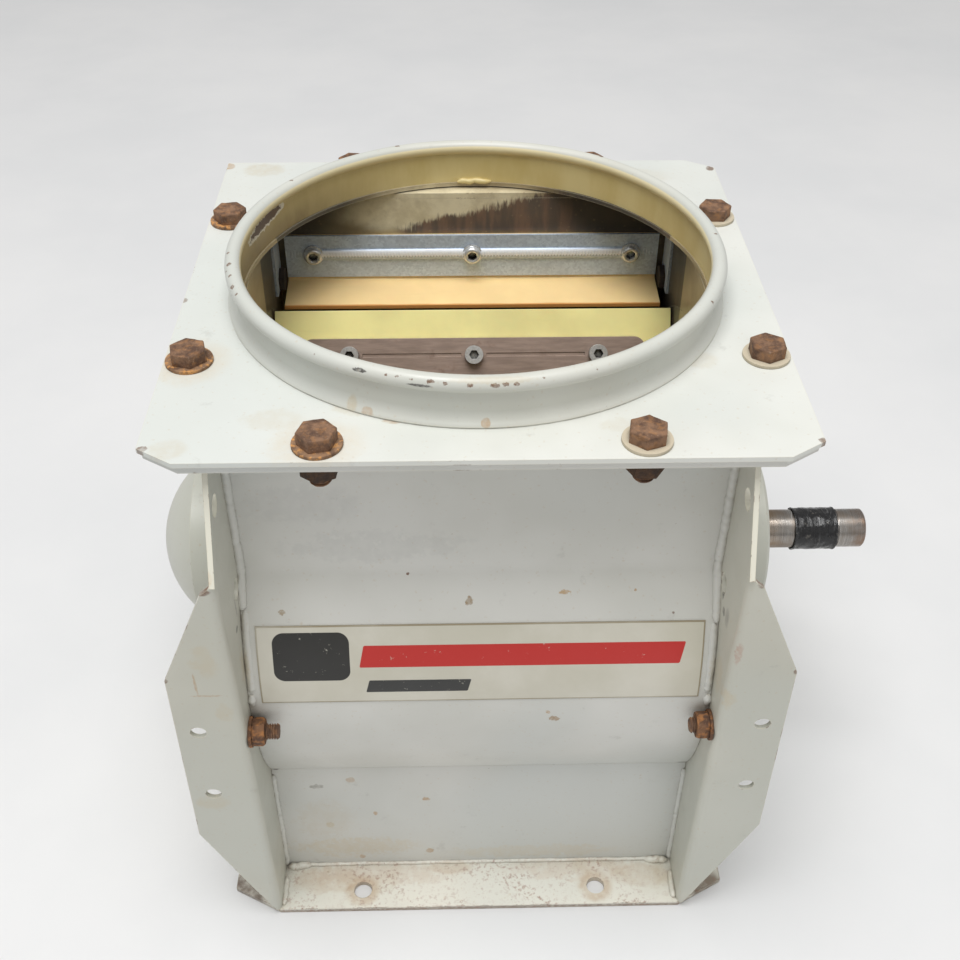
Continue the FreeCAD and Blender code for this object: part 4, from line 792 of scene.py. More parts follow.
def polyurethane(name, colour, deep, deep_mask, rough=0.42):
    """Cast polyurethane sheet: its colour, a deeper colour where a mask says, and dusty clouds."""
    material, shader, place = new_material(name)
    clouds = noise(place, 14.0, 5)
    layer = mixed(ramp(clouds, 0.35, 0.7), scaled(colour, 1.05),
                  scaled(colour, 0.88))
    layer = mixed(deep_mask(place), layer, deep)
    rubbed = noise(stretched(place, (12, 160, 160)), 1.0, 4)
    layer = mixed(ramp(rubbed, 0.55, 0.75, 0.0, 0.18), layer, scaled(colour, 0.75))
    marks = use(specks, place, scale=130.0, cover=0.05)
    layer = mixed(times(marks["Mask"], 0.6), layer, (0.22, 0.14, 0.06))
    # Corners of the sheet darken by occlusion: partly grime, partly painted shade.
    grime_and_shade_mask = use(grime_and_shade, place, reach=0.004, amount=0.6)[0]
    layer = mixed(grime_and_shade_mask, layer, (0.22, 0.14, 0.06))
    shader.inputs["Subsurface Weight"].default_value = 0.12
    shader.inputs["Subsurface Scale"].default_value = 0.004
    coat(shader, layer, ramp(clouds, 0.3, 0.7, rough - 0.06, rough + 0.1),
         (clouds, 0.25, 0.003), (noise(place, 500.0, 2), 0.12, 0.0002))
    return material


FLAP_EDGE_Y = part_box("scraper_flap")[0].y


def flap_edge(place):
    """The lower, wiping edge of the flap, a little uneven."""
    y = apart(place)[1]
    wave = times(noise(stretched(place, (1, 0.2, 0.2)), 60.0, 3), 1.6 * MM)
    return ramp(minus(y, wave), FLAP_EDGE_Y + 1.0 * MM, FLAP_EDGE_Y - 0.4 * MM, 0.0, 0.9)


def blade_end(place):
    """Soft clouds, where the vane is thinner or dustier."""
    return ramp(noise(stretched(place, (1, 2, 2)), 7.0, 4), 0.5, 0.75, 0.0, 0.35)


flap_plastic = polyurethane("tan_polyurethane", (0.97, 0.71, 0.35), (0.66, 0.29, 0.07), flap_edge)
blade_plastic = polyurethane("yellow_polyurethane", (0.90, 0.82, 0.36), (0.70, 0.56, 0.22), blade_end,
                             rough=0.34)
print("plastics:", flap_plastic.name, blade_plastic.name)

# %% Rubber and tape


def make_rubber():
    """Dull black rubber with grey dust, for the gasket and the shaft seal."""
    material, shader, place = new_material("gasket_rubber")
    clouds = noise(place, 80.0, 5)
    layer = mixed(ramp(clouds, 0.4, 0.7), (0.035, 0.034, 0.032), (0.16, 0.15, 0.125))
    coat(shader, layer, ramp(clouds, 0.3, 0.7, 0.55, 0.8), (noise(place, 700.0, 3), 0.3, 0.0003))
    return material


def make_tape():
    """Black vinyl tape: glossy, creased, and rubbed grey on its ridges."""
    material, shader, place = new_material("black_vinyl_tape")
    creases = noise(stretched(place, (260, 90, 90)), 1.0, 4, 0.6, 1.2)
    layer = mixed(ramp(creases, 0.58, 0.74), (0.012, 0.012, 0.013), (0.085, 0.085, 0.088))
    dust = ramp(noise(place, 300.0, 4), 0.60, 0.72, 0.0, 0.5)
    layer = mixed(dust, layer, (0.20, 0.185, 0.16))
    coat(shader, layer, ramp(creases, 0.3, 0.7, 0.16, 0.34),
         (creases, 0.7, 0.0008), (noise(place, 900.0, 2), 0.15, 0.0002))
    return material


gasket_rubber, vinyl_tape = make_rubber(), make_tape()

# %% [markdown]
# ## Rounding the drawn parts
# A drawn part has knife-sharp edges, and real sheet metal never has. Each part that can be seen is
# copied, its loose triangles are merged into clean faces, and a small bevel rounds its edges, so that
# they catch the light. Weighted normals keep the flat faces flat. The copy then stands for the part.

# %% Copy, clean and round a part
MERGE_DISTANCE = 0.000004
FLAT_WITHIN = math.radians(0.6)


def only(*pieces):
    """Leave edit mode and select these pieces alone. The first one is the active one."""
    if bpy.context.object and bpy.context.object.mode != "OBJECT":
        bpy.ops.object.mode_set(mode="OBJECT")
    bpy.ops.object.select_all(action="DESELECT")
    for piece in pieces:
        piece.select_set(True)
    if pieces:
        bpy.context.view_layer.objects.active = pieces[0]


def edit(piece):
    """Select one piece alone and open it in edit mode."""
    only(piece)
    bpy.ops.object.mode_set(mode="EDIT")
    bpy.ops.mesh.select_all(action="SELECT")


def apply_modifier(piece, kind, **settings):
    """Add a modifier with its settings, and apply it at once."""
    only(piece)
    modifier = piece.modifiers.new(kind.lower(), kind)
    for key, value in settings.items():
        setattr(modifier, key, value)
    bpy.ops.object.modifier_apply(modifier=modifier.name)


def bevel(piece, width, angle, segments=2):
    """Round the edges that are sharper than an angle. The width is in mm."""
    apply_modifier(piece, "BEVEL", limit_method="ANGLE", angle_limit=math.radians(angle), width=width * MM,
                   segments=segments)


def smooth(piece, angle=38):
    """Smooth shading that keeps the sharp edges, with flat faces kept flat."""
    only(piece)
    bpy.ops.object.shade_smooth_by_angle(angle=math.radians(angle))
    apply_modifier(piece, "WEIGHTED_NORMAL", keep_sharp=True, weight=50)


def finish_piece(piece, name, body, finish):
    """Name a finished piece, give it its material, and let it ride on its body."""
    piece.name = piece.data.name = name
    piece.data.materials.clear()
    piece.data.materials.append(finish)
    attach(piece, body)
    return piece


def merged_copy(node):
    """A drawn part's mesh, copied with its triangles merged into faces."""
    piece = bpy.data.objects.new(node + "_copy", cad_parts[node].data.copy())
    bpy.context.scene.collection.objects.link(piece)
    edit(piece)
    bpy.ops.mesh.customdata_custom_splitnormals_clear()
    bpy.ops.mesh.remove_doubles(threshold=MERGE_DISTANCE)
    bpy.ops.mesh.dissolve_limited(angle_limit=FLAT_WITHIN)
    bpy.ops.object.mode_set(mode="OBJECT")
    return piece


def dressed(node, body, slot, finish, round_by):
    """A drawn part with rounded edges, which replaces it. The rounding is in mm."""
    piece = merged_copy(node)
    bevel(piece, round_by, 32)
    smooth(piece)
    finish_piece(piece, node + "_dressed", body, finish)
    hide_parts(node)
    return piece


SHEETS = {
    "inlet_plate": ("top_paint", top_paint), "body_flange": ("body_paint", body_paint),
    "base_plate": ("body_paint", lit_base_paint), "end_plate_left": ("body_paint", shaded_side_paint),
    "end_plate_right": ("body_paint", shaded_side_paint), "shell_front": ("body_paint", body_paint),
    "shell_rear": ("body_paint", body_paint), "outlet_panel_front": ("body_paint", body_paint),
    "outlet_panel_rear": ("body_paint", body_paint), "end_cover_left": ("body_paint", shaded_side_paint),
    "end_cover_right": ("body_paint", shaded_side_paint), "bearing_cap_left": ("body_paint", shaded_side_paint),
    "bearing_housing_right": ("body_paint", shaded_side_paint), "bearing_housing_left": ("body_paint", shaded_side_paint),
}
for node, (slot, finish) in SHEETS.items():
    sheet = dressed(node, "housing", slot, finish, 0.55)
    print(node, len(sheet.data.polygons), "faces")

# %% Rotor, scraper and fasteners
for number in range(1, 9):
    dressed(f"blade_{number}", "rotor", "blade_polyurethane", blade_plastic, 0.5)
    dressed(f"clamp_strip_{number}", "rotor", "brown_steel", clamp_steel, 0.4)
SMALL_PARTS = {
    "rotor_drum": ("rotor", "rotor_steel", rotor_steel, 0.4),
    "rotor_shaft": ("rotor", "shaft_steel", shaft_steel, 0.35),
    "blade_screws": ("rotor", "screw_steel", clamp_screw_steel, 0.25),
    "scraper_strip": ("housing", "galvanised_steel", zinc_sheet, 0.3),
    "scraper_cheek_left": ("housing", "galvanised_steel", zinc_sheet, 0.3),
    "scraper_cheek_right": ("housing", "galvanised_steel", zinc_sheet, 0.3),
    "scraper_flap": ("housing", "flap_polyurethane", flap_plastic, 0.35),
    "scraper_end_bolts": ("housing", "dark_bolt_steel", dark_bolt, 0.3),
    "inlet_washers": ("housing", "rusty_washer_steel", rusty_washer, 0.3),
    "inlet_nuts": ("housing", "rusty_bolt_steel", shaded_inlet_nut, 0.4),
    "cover_washers": ("housing", "rusty_nut_steel", rusty_nut, 0.3),
}
for node, looks in SMALL_PARTS.items():
    dressed(node, *looks)

# %% [markdown]
# ## The collar
# The collar is pressed from sheet: a skirt at its foot, a straight neck, and a bead rolled at the top
# that a clamp ring grips. A turned shape comes from one outline, spun round the axis. The drawn collar
# is perfectly round, but a pressed one is a little wavy, so the spun wall gets a faint displacement.

# %% Spin an outline
ALONG_X = (0, math.pi / 2, 0)


def cylinder(sides, radius, depth, centre, turn, ends="NGON"):
    """A cylinder of flat sides, which becomes the active piece."""
    only()
    bpy.ops.mesh.primitive_cylinder_add(vertices=sides, radius=radius, depth=depth, end_fill_type=ends,
                                        location=centre, rotation=turn)
    bpy.ops.object.transform_apply(location=True, rotation=True, scale=True)
    return bpy.context.object


def spun(name, outline, steps, centre=(0, 0, 0), axis=(0, 0, 1), across=(1, 0, 0)):
    """Spin a closed outline of (radius, distance along the axis) points into a solid."""
    only()
    centre, axis, across = Vector(centre), Vector(axis), Vector(across)
    places = [centre + across * radius + axis * along for radius, along in outline]
    bpy.ops.mesh.primitive_plane_add(size=0.001, location=places[0])
    piece = bpy.context.object
    piece.name = name
    bpy.ops.object.mode_set(mode="EDIT")
    bpy.ops.mesh.select_all(action="SELECT")
    bpy.ops.mesh.merge(type="CENTER")
    for before, after in zip(places, places[1:] + places[:1]):
        bpy.ops.mesh.extrude_vertices_move(TRANSFORM_OT_translate={"value": after - before})
    bpy.ops.mesh.select_all(action="SELECT")
    bpy.ops.mesh.spin(steps=steps, angle=2 * math.pi, center=centre, axis=axis)
    bpy.ops.mesh.select_all(action="SELECT")
    bpy.ops.mesh.remove_doubles(threshold=0.000005)
    bpy.ops.mesh.normals_make_consistent(inside=False)
    bpy.ops.object.mode_set(mode="OBJECT")
    bpy.ops.object.transform_apply(location=True, rotation=True, scale=True)
    return piece


def arc(centre, radius, first, last, count):
    """Points of an arc, with its angles in degrees."""
    angles = [math.radians(first + (last - first) * k / count) for k in range(count + 1)]
    return [(centre[0] + radius * math.cos(a), centre[1] + radius * math.sin(a)) for a in angles]


# %% Collar
FOOT_R = collar_high.x
COLLAR_TOP = collar_high.z
COLLAR_FOOT = collar_low.z
BEAD_R = 4.8 * MM
BEAD_AT = (146.0 * MM, COLLAR_TOP - BEAD_R - 0.25 * MM)
skirt = [(FOOT_R - 4.9 * MM * (1 - (1 - k / 6) ** 1.7), COLLAR_FOOT + (1.2 + 7.2 * k / 6) * MM)
         for k in range(7)]
outline = [(COLLAR_INNER, COLLAR_FOOT), (FOOT_R - 0.3 * MM, COLLAR_FOOT), (FOOT_R, COLLAR_FOOT + 0.4 * MM)]
outline += skirt + arc(BEAD_AT, BEAD_R, -84, 246, 22)
print("collar outline points:", len(outline))
collar = spun("collar", outline, 160)
waves = bpy.data.textures.new("collar_waves", "CLOUDS")
waves.noise_scale = 0.09
apply_modifier(collar, "DISPLACE", texture=waves, strength=0.5 * MM, mid_level=0.5, direction="RGB_TO_XYZ")
smooth(collar, 50)
finish_piece(collar, "collar_pressed", "housing", collar_paint)
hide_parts("inlet_collar")
print("collar:", len(collar.data.polygons), "faces")

# %% [markdown]
# The collar was tacked to the plate at the back, on the inside, with one short weld. A weld bead is a
# row of overlapping drops, so each bead here is a tube along a path whose radius swells and shrinks
# with every drop. A curve with a round bevel does this, because each of its points has a radius.

# %% Weld beads
random.seed(4)


def bead(name, path, radius, drop=1.6, wobble=0.35, finish=None):
    """A weld bead along a path of points. Each drop is one swelling of the tube."""
    points = []
    for before, after in zip(path, path[1:]):
        before, after = Vector(before) * MM, Vector(after) * MM
        count = max(1, round((after - before).length / (drop * MM)))
        points += [before.lerp(after, k / count) for k in range(count)]
    points.append(Vector(path[-1]) * MM)
    curve = bpy.data.curves.new(name, "CURVE")
    curve.dimensions = "3D"
    curve.bevel_depth = radius * MM
    curve.bevel_resolution = 3
    curve.use_fill_caps = True
    line = curve.splines.new("NURBS")
    line.points.add(len(points) - 1)
    for number, (knot, place) in enumerate(zip(line.points, points)):
        sway = Vector([random.uniform(-0.5, 0.5) * wobble * MM for _ in range(3)])
        knot.co = (*(place + sway), 1)
        ends = 0.45 if number in (0, len(points) - 1) else 1.0
        knot.radius = ends * (1.0 + (0.10 if number % 2 else -0.06) + random.uniform(-0.08, 0.08))
    line.order_u = 3
    line.use_endpoint_u = True
    piece = bpy.data.objects.new(name, curve)
    bpy.context.scene.collection.objects.link(piece)
    only(piece)
    bpy.ops.object.convert(target="MESH")
    piece = bpy.context.object
    smooth(piece, 60)
    return finish_piece(piece, name, "housing", finish or body_paint)


def barrel_path(x, low, high, steps, out=0.0, front=-1):
    """Points on the barrel's skin at one X, between two heights in mm."""
    radius = BARREL / MM + out
    heights = [high + (low - high) * k / steps for k in range(steps + 1)]
    return [(x, front * math.sqrt(radius ** 2 - (z - AXIS_Z / MM) ** 2), z) for z in heights]


tack = [(-10, 142.6, 414.6), (-4, 142.8, 414.9), (4, 142.8, 414.8), (13, 142.4, 414.6)]
bead("collar_tack_weld", tack, 1.9, drop=2.6, wobble=1.2, finish=collar_paint)
for side, name, low in ((-1, "left", 281), (1, "right", 270)):
    for way, end in ((-1, "front"), (1, "rear")):
        edge = side * (INNER_X / MM - 1.2)
        wall = [(edge, way * 137.8, 402), (edge, way * 137.8, 350), (edge, way * 137.9, 306)]
        bend = [(edge, way * 138.5, 301), (edge, way * 140.2, 297.2)]
        path = wall + bend + barrel_path(edge, low, 296, 8, 0.1, way)
        bead(f"throat_weld_{name}_{end}", path, 3.1, drop=3.2, wobble=0.3)

# %% [markdown]
# Further down, the barrel was not welded to the end plates. A narrow strip of sealer lies along each
# crevice instead, painted over, with a small lip at its lower end. At the outlet, short fat beads join
# the panels to the end plates and the base.

# %% Sealer strips and outlet welds
for side, name, high, low in ((-1, "left", 281, 224), (1, "right", 270, 219)):
    x = side * (INNER_X / MM - 2.6)
    bead(f"sealer_strip_{name}", barrel_path(x, low, high, 16, -1.6), 2.9, drop=4.0, wobble=0.2)
    lip = barrel_path(x + side * 0.6, low - 9, low, 3, -0.2)
    bead(f"sealer_lip_{name}", lip, 2.7, drop=3.0, wobble=0.8)
for side, name in ((-1, "left"), (1, "right")):
    x = side * (INNER_X / MM - 0.6)
    corner = [(x, -141.4, 112), (x, -141.5, 84), (x, -141.4, 50), (x, -141.5, 24), (x, -142.0, 6)]
    bead(f"outlet_corner_weld_{name}", corner, 2.2, drop=2.8, wobble=0.5)
    foot = [(x - side * 1, -143.2, 5.0), (x - side * 10, -142.8, 5.2), (x - side * 18, -142.2, 4.6)]
    bead(f"outlet_foot_weld_{name}", foot, 2.8, drop=3.2, wobble=1.2, finish=lit_base_paint)
    end = side * 144.2
    nose = [(end - side * 3.0, y, 5.0) for y in (-174.5, -166.0, -152.0)]
    bead(f"plate_foot_weld_{name}", nose, 2.2, drop=2.6, wobble=0.8, finish=lit_base_paint)
seam = [(-INNER_X / MM + 4, -141.6, 4.8), (-60, -141.5, 4.7), (30, -141.5, 4.7),
        (INNER_X / MM - 4, -141.6, 4.8)]
bead("outlet_seam_bead", seam, 1.5, drop=5.0, wobble=0.5, finish=lit_base_paint)

# %% [markdown]
# ## The label plate
# A thin plate is riveted or glued across the barrel. It is bent to the barrel's curve, so it is cut from
# a cylinder a little larger than the barrel, and given a thickness. Its print is left general: a dark
# block, a red bar and a short grey bar, scuffed and yellowed, with a dirty line round the edge.

# %% Label
LABEL_HALF = 134.5 * MM
LABEL_LOW, LABEL_HIGH = 217.5 * MM, 271.5 * MM


def make_box_mask():
    """1 inside a box on the label, from its middle, half sizes and slant."""
    given = new_group("printed_block", {"Centre": (0, 0, 0), "Half": (0, 0, 0), "Slant": 0.0,
                                        "Corner": 0.001})
    x, _, z = apart(sums("SUBTRACT", given["Place"], given["Centre"]))
    half = apart(given["Half"])
    x = minus(x, times(z, given["Slant"]))
    reach = []
    for value, limit in ((x, half[0]), (z, half[2])):
        beyond = minus(calc("ABSOLUTE", value), minus(limit, given["Corner"]))
        reach.append(calc("MAXIMUM", beyond, 0.0))
    far = length_of(*reach)
    return put_out(mask=ramp(minus(far, given["Corner"]), 0.00015, -0.00015))


printed_block = make_box_mask()


def make_label_finish():
    """Yellowed printed plate."""
    material, shader, place = new_material("printed_label")
    clouds = noise(place, 16.0, 5)
    layer = mixed(ramp(clouds, 0.35, 0.7), (0.67, 0.645, 0.56), (0.585, 0.56, 0.465))
    blocks = [((-102, 0, 251.2), (23, 1, 16.3), 0.0, 7, (0.012, 0.012, 0.013)),
              ((25, 0, 251.5), (97, 1, 7.4), 0.2, 1.0, (0.53, 0.012, 0.010)),
              ((-38, 0, 230), (31, 1, 4.6), 0.25, 0.8, (0.025, 0.026, 0.028))]
    wear = ramp(noise(place, 210.0, 6, 0.7), 0.64, 0.70, 0.0, 0.55)
    for centre, half, slant, corner, ink in blocks:
        block = use(printed_block, place, centre=Vector(centre) * MM, half=Vector(half) * MM, slant=slant,
                    corner=corner * MM)[0]
        block = times(block, minus(1.0, wear))
        layer = mixed(times(block, 0.96), layer, ink)
    half = (LABEL_HALF - 0.9 * MM, 1, (LABEL_HIGH - LABEL_LOW) / 2 - 0.8 * MM)
    middle = (0, 0, (LABEL_LOW + LABEL_HIGH) / 2)
    within = use(printed_block, place, centre=middle, half=half, corner=0.0005)[0]
    rim = times(minus(1.0, within), ramp(clouds, 0.3, 0.6, 0.45, 0.9))
    layer = mixed(rim, layer, (0.30, 0.25, 0.16))
    stained = use(stains, place, scale=20.0, cover=0.3)[0]
    layer = mixed(times(stained, 0.3), layer, (0.50, 0.40, 0.24))
    pits = use(specks, place, scale=210.0, cover=0.02)
    layer = mixed(times(pits["Mask"], 0.7), layer, (0.30, 0.17, 0.09))
    shader.inputs["Specular IOR Level"].default_value = 0.35
    coat(shader, layer, ramp(clouds, 0.3, 0.7, 0.36, 0.5),
         (clouds, 0.2, 0.002), (noise(place, 400.0, 2), 0.08, 0.0003))
    return material


def make_label():
    """Cut the plate from a cylinder round the barrel's axis, then thicken it."""
    plate = cylinder(360, BARREL + 0.1 * MM, LABEL_HALF * 2, (0, 0, AXIS_Z), ALONG_X, "NOTHING")
    cuts = [((0, 0, LABEL_LOW), (0, 0, -1)), ((0, 0, LABEL_HIGH), (0, 0, 1)), ((0, 0, 0), (0, 1, 0))]
    for place, away in cuts:
        edit(plate)
        bpy.ops.mesh.bisect(plane_co=place, plane_no=away, clear_outer=True)
    bpy.ops.object.mode_set(mode="OBJECT")
    apply_modifier(plate, "SOLIDIFY", thickness=0.5 * MM, offset=1.0)
    bevel(plate, 0.12, 50)
    smooth(plate)
    return finish_piece(plate, "label_plate", "housing", make_label_finish())


label = make_label()
print("label:", len(label.data.polygons), "faces, box", [round(v, 4) for v in label.dimensions])

# %% [markdown]
# ## Inlet bolts
# The bolts on the flange are M12 with six-sided heads, rusted all over. One bolt is modelled: a
# six-sided cylinder with bevelled top edges for the head, and a spun outline with rings for the
# threaded end. It is then copied to the place of each drawn bolt, turned as that one is turned.

# %% Places of the drawn bolts


def islands(node):
    """The separate solids of a drawn part, as lists of points."""
    piece = merged_copy(node)
    mesh = bmesh.new()
    mesh.from_mesh(piece.data)
    seen, groups = set(), []
    for start in mesh.verts:
        if start in seen:
            continue
        group, queue = [], [start]
        seen.add(start)
        while queue:
            vertex = queue.pop()
            group.append(vertex.co.copy())
            for edge in vertex.link_edges:
                other = edge.other_vert(vertex)
                if other not in seen:
                    seen.add(other)
                    queue.append(other)
        groups.append(group)
    mesh.free()
    bpy.data.objects.remove(piece)
    return groups


def bolt_places(node, along):
    """The place of each drawn bolt, with its head's underside at zero and its head along an axis."""
    places = []
    for group in islands(node):
        low = Vector(min(p[k] for p in group) for k in range(3))
        high = Vector(max(p[k] for p in group) for k in range(3))
        middle = (low + high) / 2
        outward = 1 if along == 2 or middle[along] > 0 else -1
        other = [k for k in range(3) if k != along]
        corner = max((p - middle for p in group), key=lambda p: math.hypot(p[other[0]], p[other[1]]))
        across = Vector(0.0 if k == along else corner[k] for k in range(3)).normalized()
        axis = Vector(float(outward) if k == along else 0.0 for k in range(3))
        turn = Matrix((across, axis.cross(across), axis)).transposed().to_4x4()
        middle[along] = high[along] if outward > 0 else low[along]
        places.append((Matrix.Translation(middle) @ turn, high[along] - low[along]))
    return places


inlet_places = bolt_places("inlet_bolts", 2)
cover_places = bolt_places("cover_bolts", 0)
print("inlet bolts:", len(inlet_places), "cover bolts:", [round(length, 4) for place, length in cover_places])

# %% One bolt


def ringed(radius, depth, pitch, start, length):
    """Outline points of a threaded stretch, as rings."""
    points = []
    for k in range(int(length / pitch)):
        along = start + k * pitch
        points += [(radius, along), (radius, along + pitch * 0.22), (radius - depth, along + pitch * 0.5),
                   (radius - depth, along + pitch * 0.72)]
    return points


def make_bolt(name, across, head, radius, length, threaded, pitch, crown):
    """A bolt along Z, with the top of its head at zero, and one corner of the head along X."""
    top = cylinder(6, across / math.sqrt(3), head, (0, 0, -head / 2), (0, 0, math.radians(30)))
    edit(top)
    bpy.ops.mesh.select_all(action="DESELECT")
    bpy.ops.object.mode_set(mode="OBJECT")
    for edge in top.data.edges:
        edge.select = all(top.data.vertices[v].co.z > -head * 0.1 for v in edge.vertices)
    bpy.ops.object.mode_set(mode="EDIT")
    bpy.ops.mesh.bevel(offset=crown, segments=3, profile=0.6, affect="EDGES")
    bpy.ops.object.mode_set(mode="OBJECT")
    bevel(top, 0.35, 40)
    tail = ringed(radius, pitch * 0.5, pitch, -length + 1.2 * MM, threaded)
    under = 0.2 * MM - head
    outline = [(0, under), (0, -length), (radius - 0.9 * MM, -length)] + tail
    outline += [(radius, tail[-1][1] + pitch * 0.4), (radius, under)]
    shank = spun(name + "_shank", outline, 28)
    only(top, shank)
    bpy.ops.object.join()
    top.name = name
    return top


def copied(name, pairs, body, finish, rough=0.0):
    """Copies of modelled fasteners at their places, joined. Rust makes each a little different."""
    parts = []
    for master, place in pairs:
        part = bpy.data.objects.new(name, master.data.copy())
        part.data.transform(place)
        bpy.context.scene.collection.objects.link(part)
        parts.append(part)
    only(*parts)
    bpy.ops.object.join()
    joined = bpy.context.object
    for master in {master for master, place in pairs}:
        bpy.data.objects.remove(master)
    if rough:
        apply_modifier(joined, "SUBSURF", subdivision_type="SIMPLE", levels=2, render_levels=2)
        pitted = bpy.data.textures.new(name + "_pits", "CLOUDS")
        pitted.noise_scale = 0.0035
        apply_modifier(joined, "DISPLACE", texture=pitted, strength=rough * MM, mid_level=0.6)
    smooth(joined, 42)
    return finish_piece(joined, name, body, finish)


bolt = make_bolt("inlet_bolt", 19 * MM, 9 * MM, 6 * MM, inlet_places[0][1], 9 * MM, 1.75 * MM, 0.9 * MM)
pairs = [(bolt, place) for place, length in inlet_places]
inlet_bolts = copied("inlet_bolts_rusted", pairs, "housing", rusty_bolt, rough=0.5)
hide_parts("inlet_bolts")
lengths = {round(length, 4) for place, length in cover_places}
masters = {length: make_bolt("cover_bolt", 16.2 * MM, 6.4 * MM, 5 * MM, length, 10 * MM, 1.5 * MM, 0.7 * MM)
           for length in sorted(lengths)}
pairs = [(masters[round(length, 4)], place) for place, length in cover_places]
cover_bolts = copied("cover_bolts_rusted", pairs, "housing", rusty_bolt, rough=0.35)
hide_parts("cover_bolts")
print("inlet bolts:", len(inlet_bolts.data.polygons), "cover bolts:", len(cover_bolts.data.polygons), "faces")

# %% [markdown]
# The nuts of these bolts are small six-sided nuts that stand on the round washers. One nut is a
# six-sided cylinder with its corners rounded at both ends, and a hole for the bolt.

# %% Nuts on the cover bolts


def make_nut(across, height, bore):
    """A nut along Z that stands on zero, with one corner along X."""
    nut = cylinder(6, across / math.sqrt(3), height, (0, 0, height / 2), (0, 0, math.radians(30)))
    foot, top = -0.1 * MM, height + 0.1 * MM
    crown = [(0, foot), (across * 0.52, foot), (across * 0.575, 0.9 * MM),
             (across * 0.575, height - 1.3 * MM), (across * 0.50, top), (0, top)]
    low, high = -1 * MM, height + 1 * MM
    hole = [(0, low), (bore, low), (bore, high), (0, high)]
    for shape, operation in ((spun("nut_crown", crown, 48), "INTERSECT"),
                             (spun("nut_bore", hole, 32), "DIFFERENCE")):
        apply_modifier(nut, "BOOLEAN", object=shape, operation=operation, solver="EXACT")
        bpy.data.objects.remove(shape)
    return nut


def washer_faces():
    """Where each nut stands: on its washer, facing inwards, turned like the drawn nut."""
    places = []
    for place, length in bolt_places("cover_nuts", 0):
        middle = place.translation
        inward = -1 if middle.x > 0 else 1
        stand = INNER_X - 2 * MM
        flip = Matrix.Rotation(math.pi, 4, "X")
        face = Matrix.Translation((-inward * stand, middle.y, middle.z))
        places.append(face @ place.to_3x3().to_4x4() @ flip)
    return places


nut = make_nut(15.4 * MM, 7.6 * MM, 5 * MM)
pairs = [(nut, place) for place in washer_faces()]
cover_nuts = copied("cover_nuts_rusted", pairs, "housing", rusty_nut, rough=0.35)
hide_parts("cover_nuts")
print("nuts:", len(cover_nuts.data.polygons), "faces, between", [round(v, 4) for v in cover_nuts.dimensions])

# %% [markdown]
# ## The clamp strip's rib and screws
# The wiping flap is held by a zinc strip with a rib pressed along it, and three low round screws with
# a six-sided socket. The rib is a flattened cylinder cut at the strip's face. A screw head is a spun
# dome with the socket cut out of it.

# %% Rib


def make_rib(name, start, end):
    """A low round ridge on the strip, between two screws."""
    ridge = cylinder(64, 4.2 * MM, end - start, ((start + end) / 2, STRIP_FACE, RIB_Z), ALONG_X)
    edit(ridge)
    bpy.ops.transform.resize(value=(1, 0.56, 1), center_override=(0, STRIP_FACE, RIB_Z))
    bpy.ops.mesh.select_all(action="SELECT")
    bpy.ops.mesh.bisect(plane_co=(0, STRIP_FACE + 0.3 * MM, 0), plane_no=(0, 1, 0), clear_outer=True,
                        use_fill=True)
    bpy.ops.object.mode_set(mode="OBJECT")
    bevel(ridge, 0.8, 60, 3)
    smooth(ridge, 50)
    return finish_piece(ridge, name, "housing", zinc_sheet)


SCREW_X = 115.5 * MM
for side, start in (("left", -SCREW_X + 4 * MM), ("right", 4 * MM)):
    rib = make_rib(f"pressed_rib_{side}", start, start + SCREW_X - 8 * MM)
print("rib:", [round(v, 4) for v in rib.dimensions])

# %% Low round screws
SCREW_FOOT_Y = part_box("scraper_screws")[1].y


def make_screw():
    """A domed screw head on its collar, seen from the front, with a six-sided socket."""
    face = STRIP_FACE - 1.5 * MM
    dome = [(0, -3.3 * MM), (3.3 * MM, -3.3 * MM), (3.9 * MM, -3.8 * MM), (4.8 * MM, -4.0 * MM),
            (5.8 * MM, -3.6 * MM), (6.4 * MM, -2.7 * MM), (6.6 * MM, -1.5 * MM), (6.7 * MM, -0.5 * MM),
            (7.3 * MM, -0.3 * MM), (7.4 * MM, 1.3 * MM), (4.0 * MM, 1.3 * MM),
            (4.0 * MM, SCREW_FOOT_Y - face), (0, SCREW_FOOT_Y - face)]
    head = spun("low_screw", dome, 48, centre=(0, face, RIB_Z), axis=(0, 1, 0))
    socket = cylinder(6, 3.6 * MM, 6 * MM, (0, face - 2.6 * MM, RIB_Z), (math.pi / 2, 0, 0))
    apply_modifier(head, "BOOLEAN", object=socket, operation="DIFFERENCE", solver="EXACT")
    bpy.data.objects.remove(socket)
    return head


low_screw = make_screw()
up, down = Matrix.Translation((0, 0, RIB_Z)), Matrix.Translation((0, 0, -RIB_Z))
pairs = [(low_screw, Matrix.Translation((x, 0, 0)) @ up @ Matrix.Rotation(turn, 4, "Y") @ down)
         for x, turn in ((-SCREW_X, 0.3), (0.0, 0.9), (SCREW_X, 0.1))]
low_screws = copied("low_round_screws", pairs, "housing", screw_steel)
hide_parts("scraper_screws")
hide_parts("scraper_washers")
print("screws:", len(low_screws.data.polygons), "faces")

# %% [markdown]
# ## Tape on the shaft
# The key and its seat are wrapped in black tape, to keep them from rust and loss. The tape goes round
# the shaft and stretches over the key underneath, from edge to edge in straight lines. The wrap is a
# cylinder with many rings, its points are moved out over the key, and noise creases it.

# %% Tape
tape_low, tape_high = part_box("shaft_tape")
key_low, key_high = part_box("drive_key")


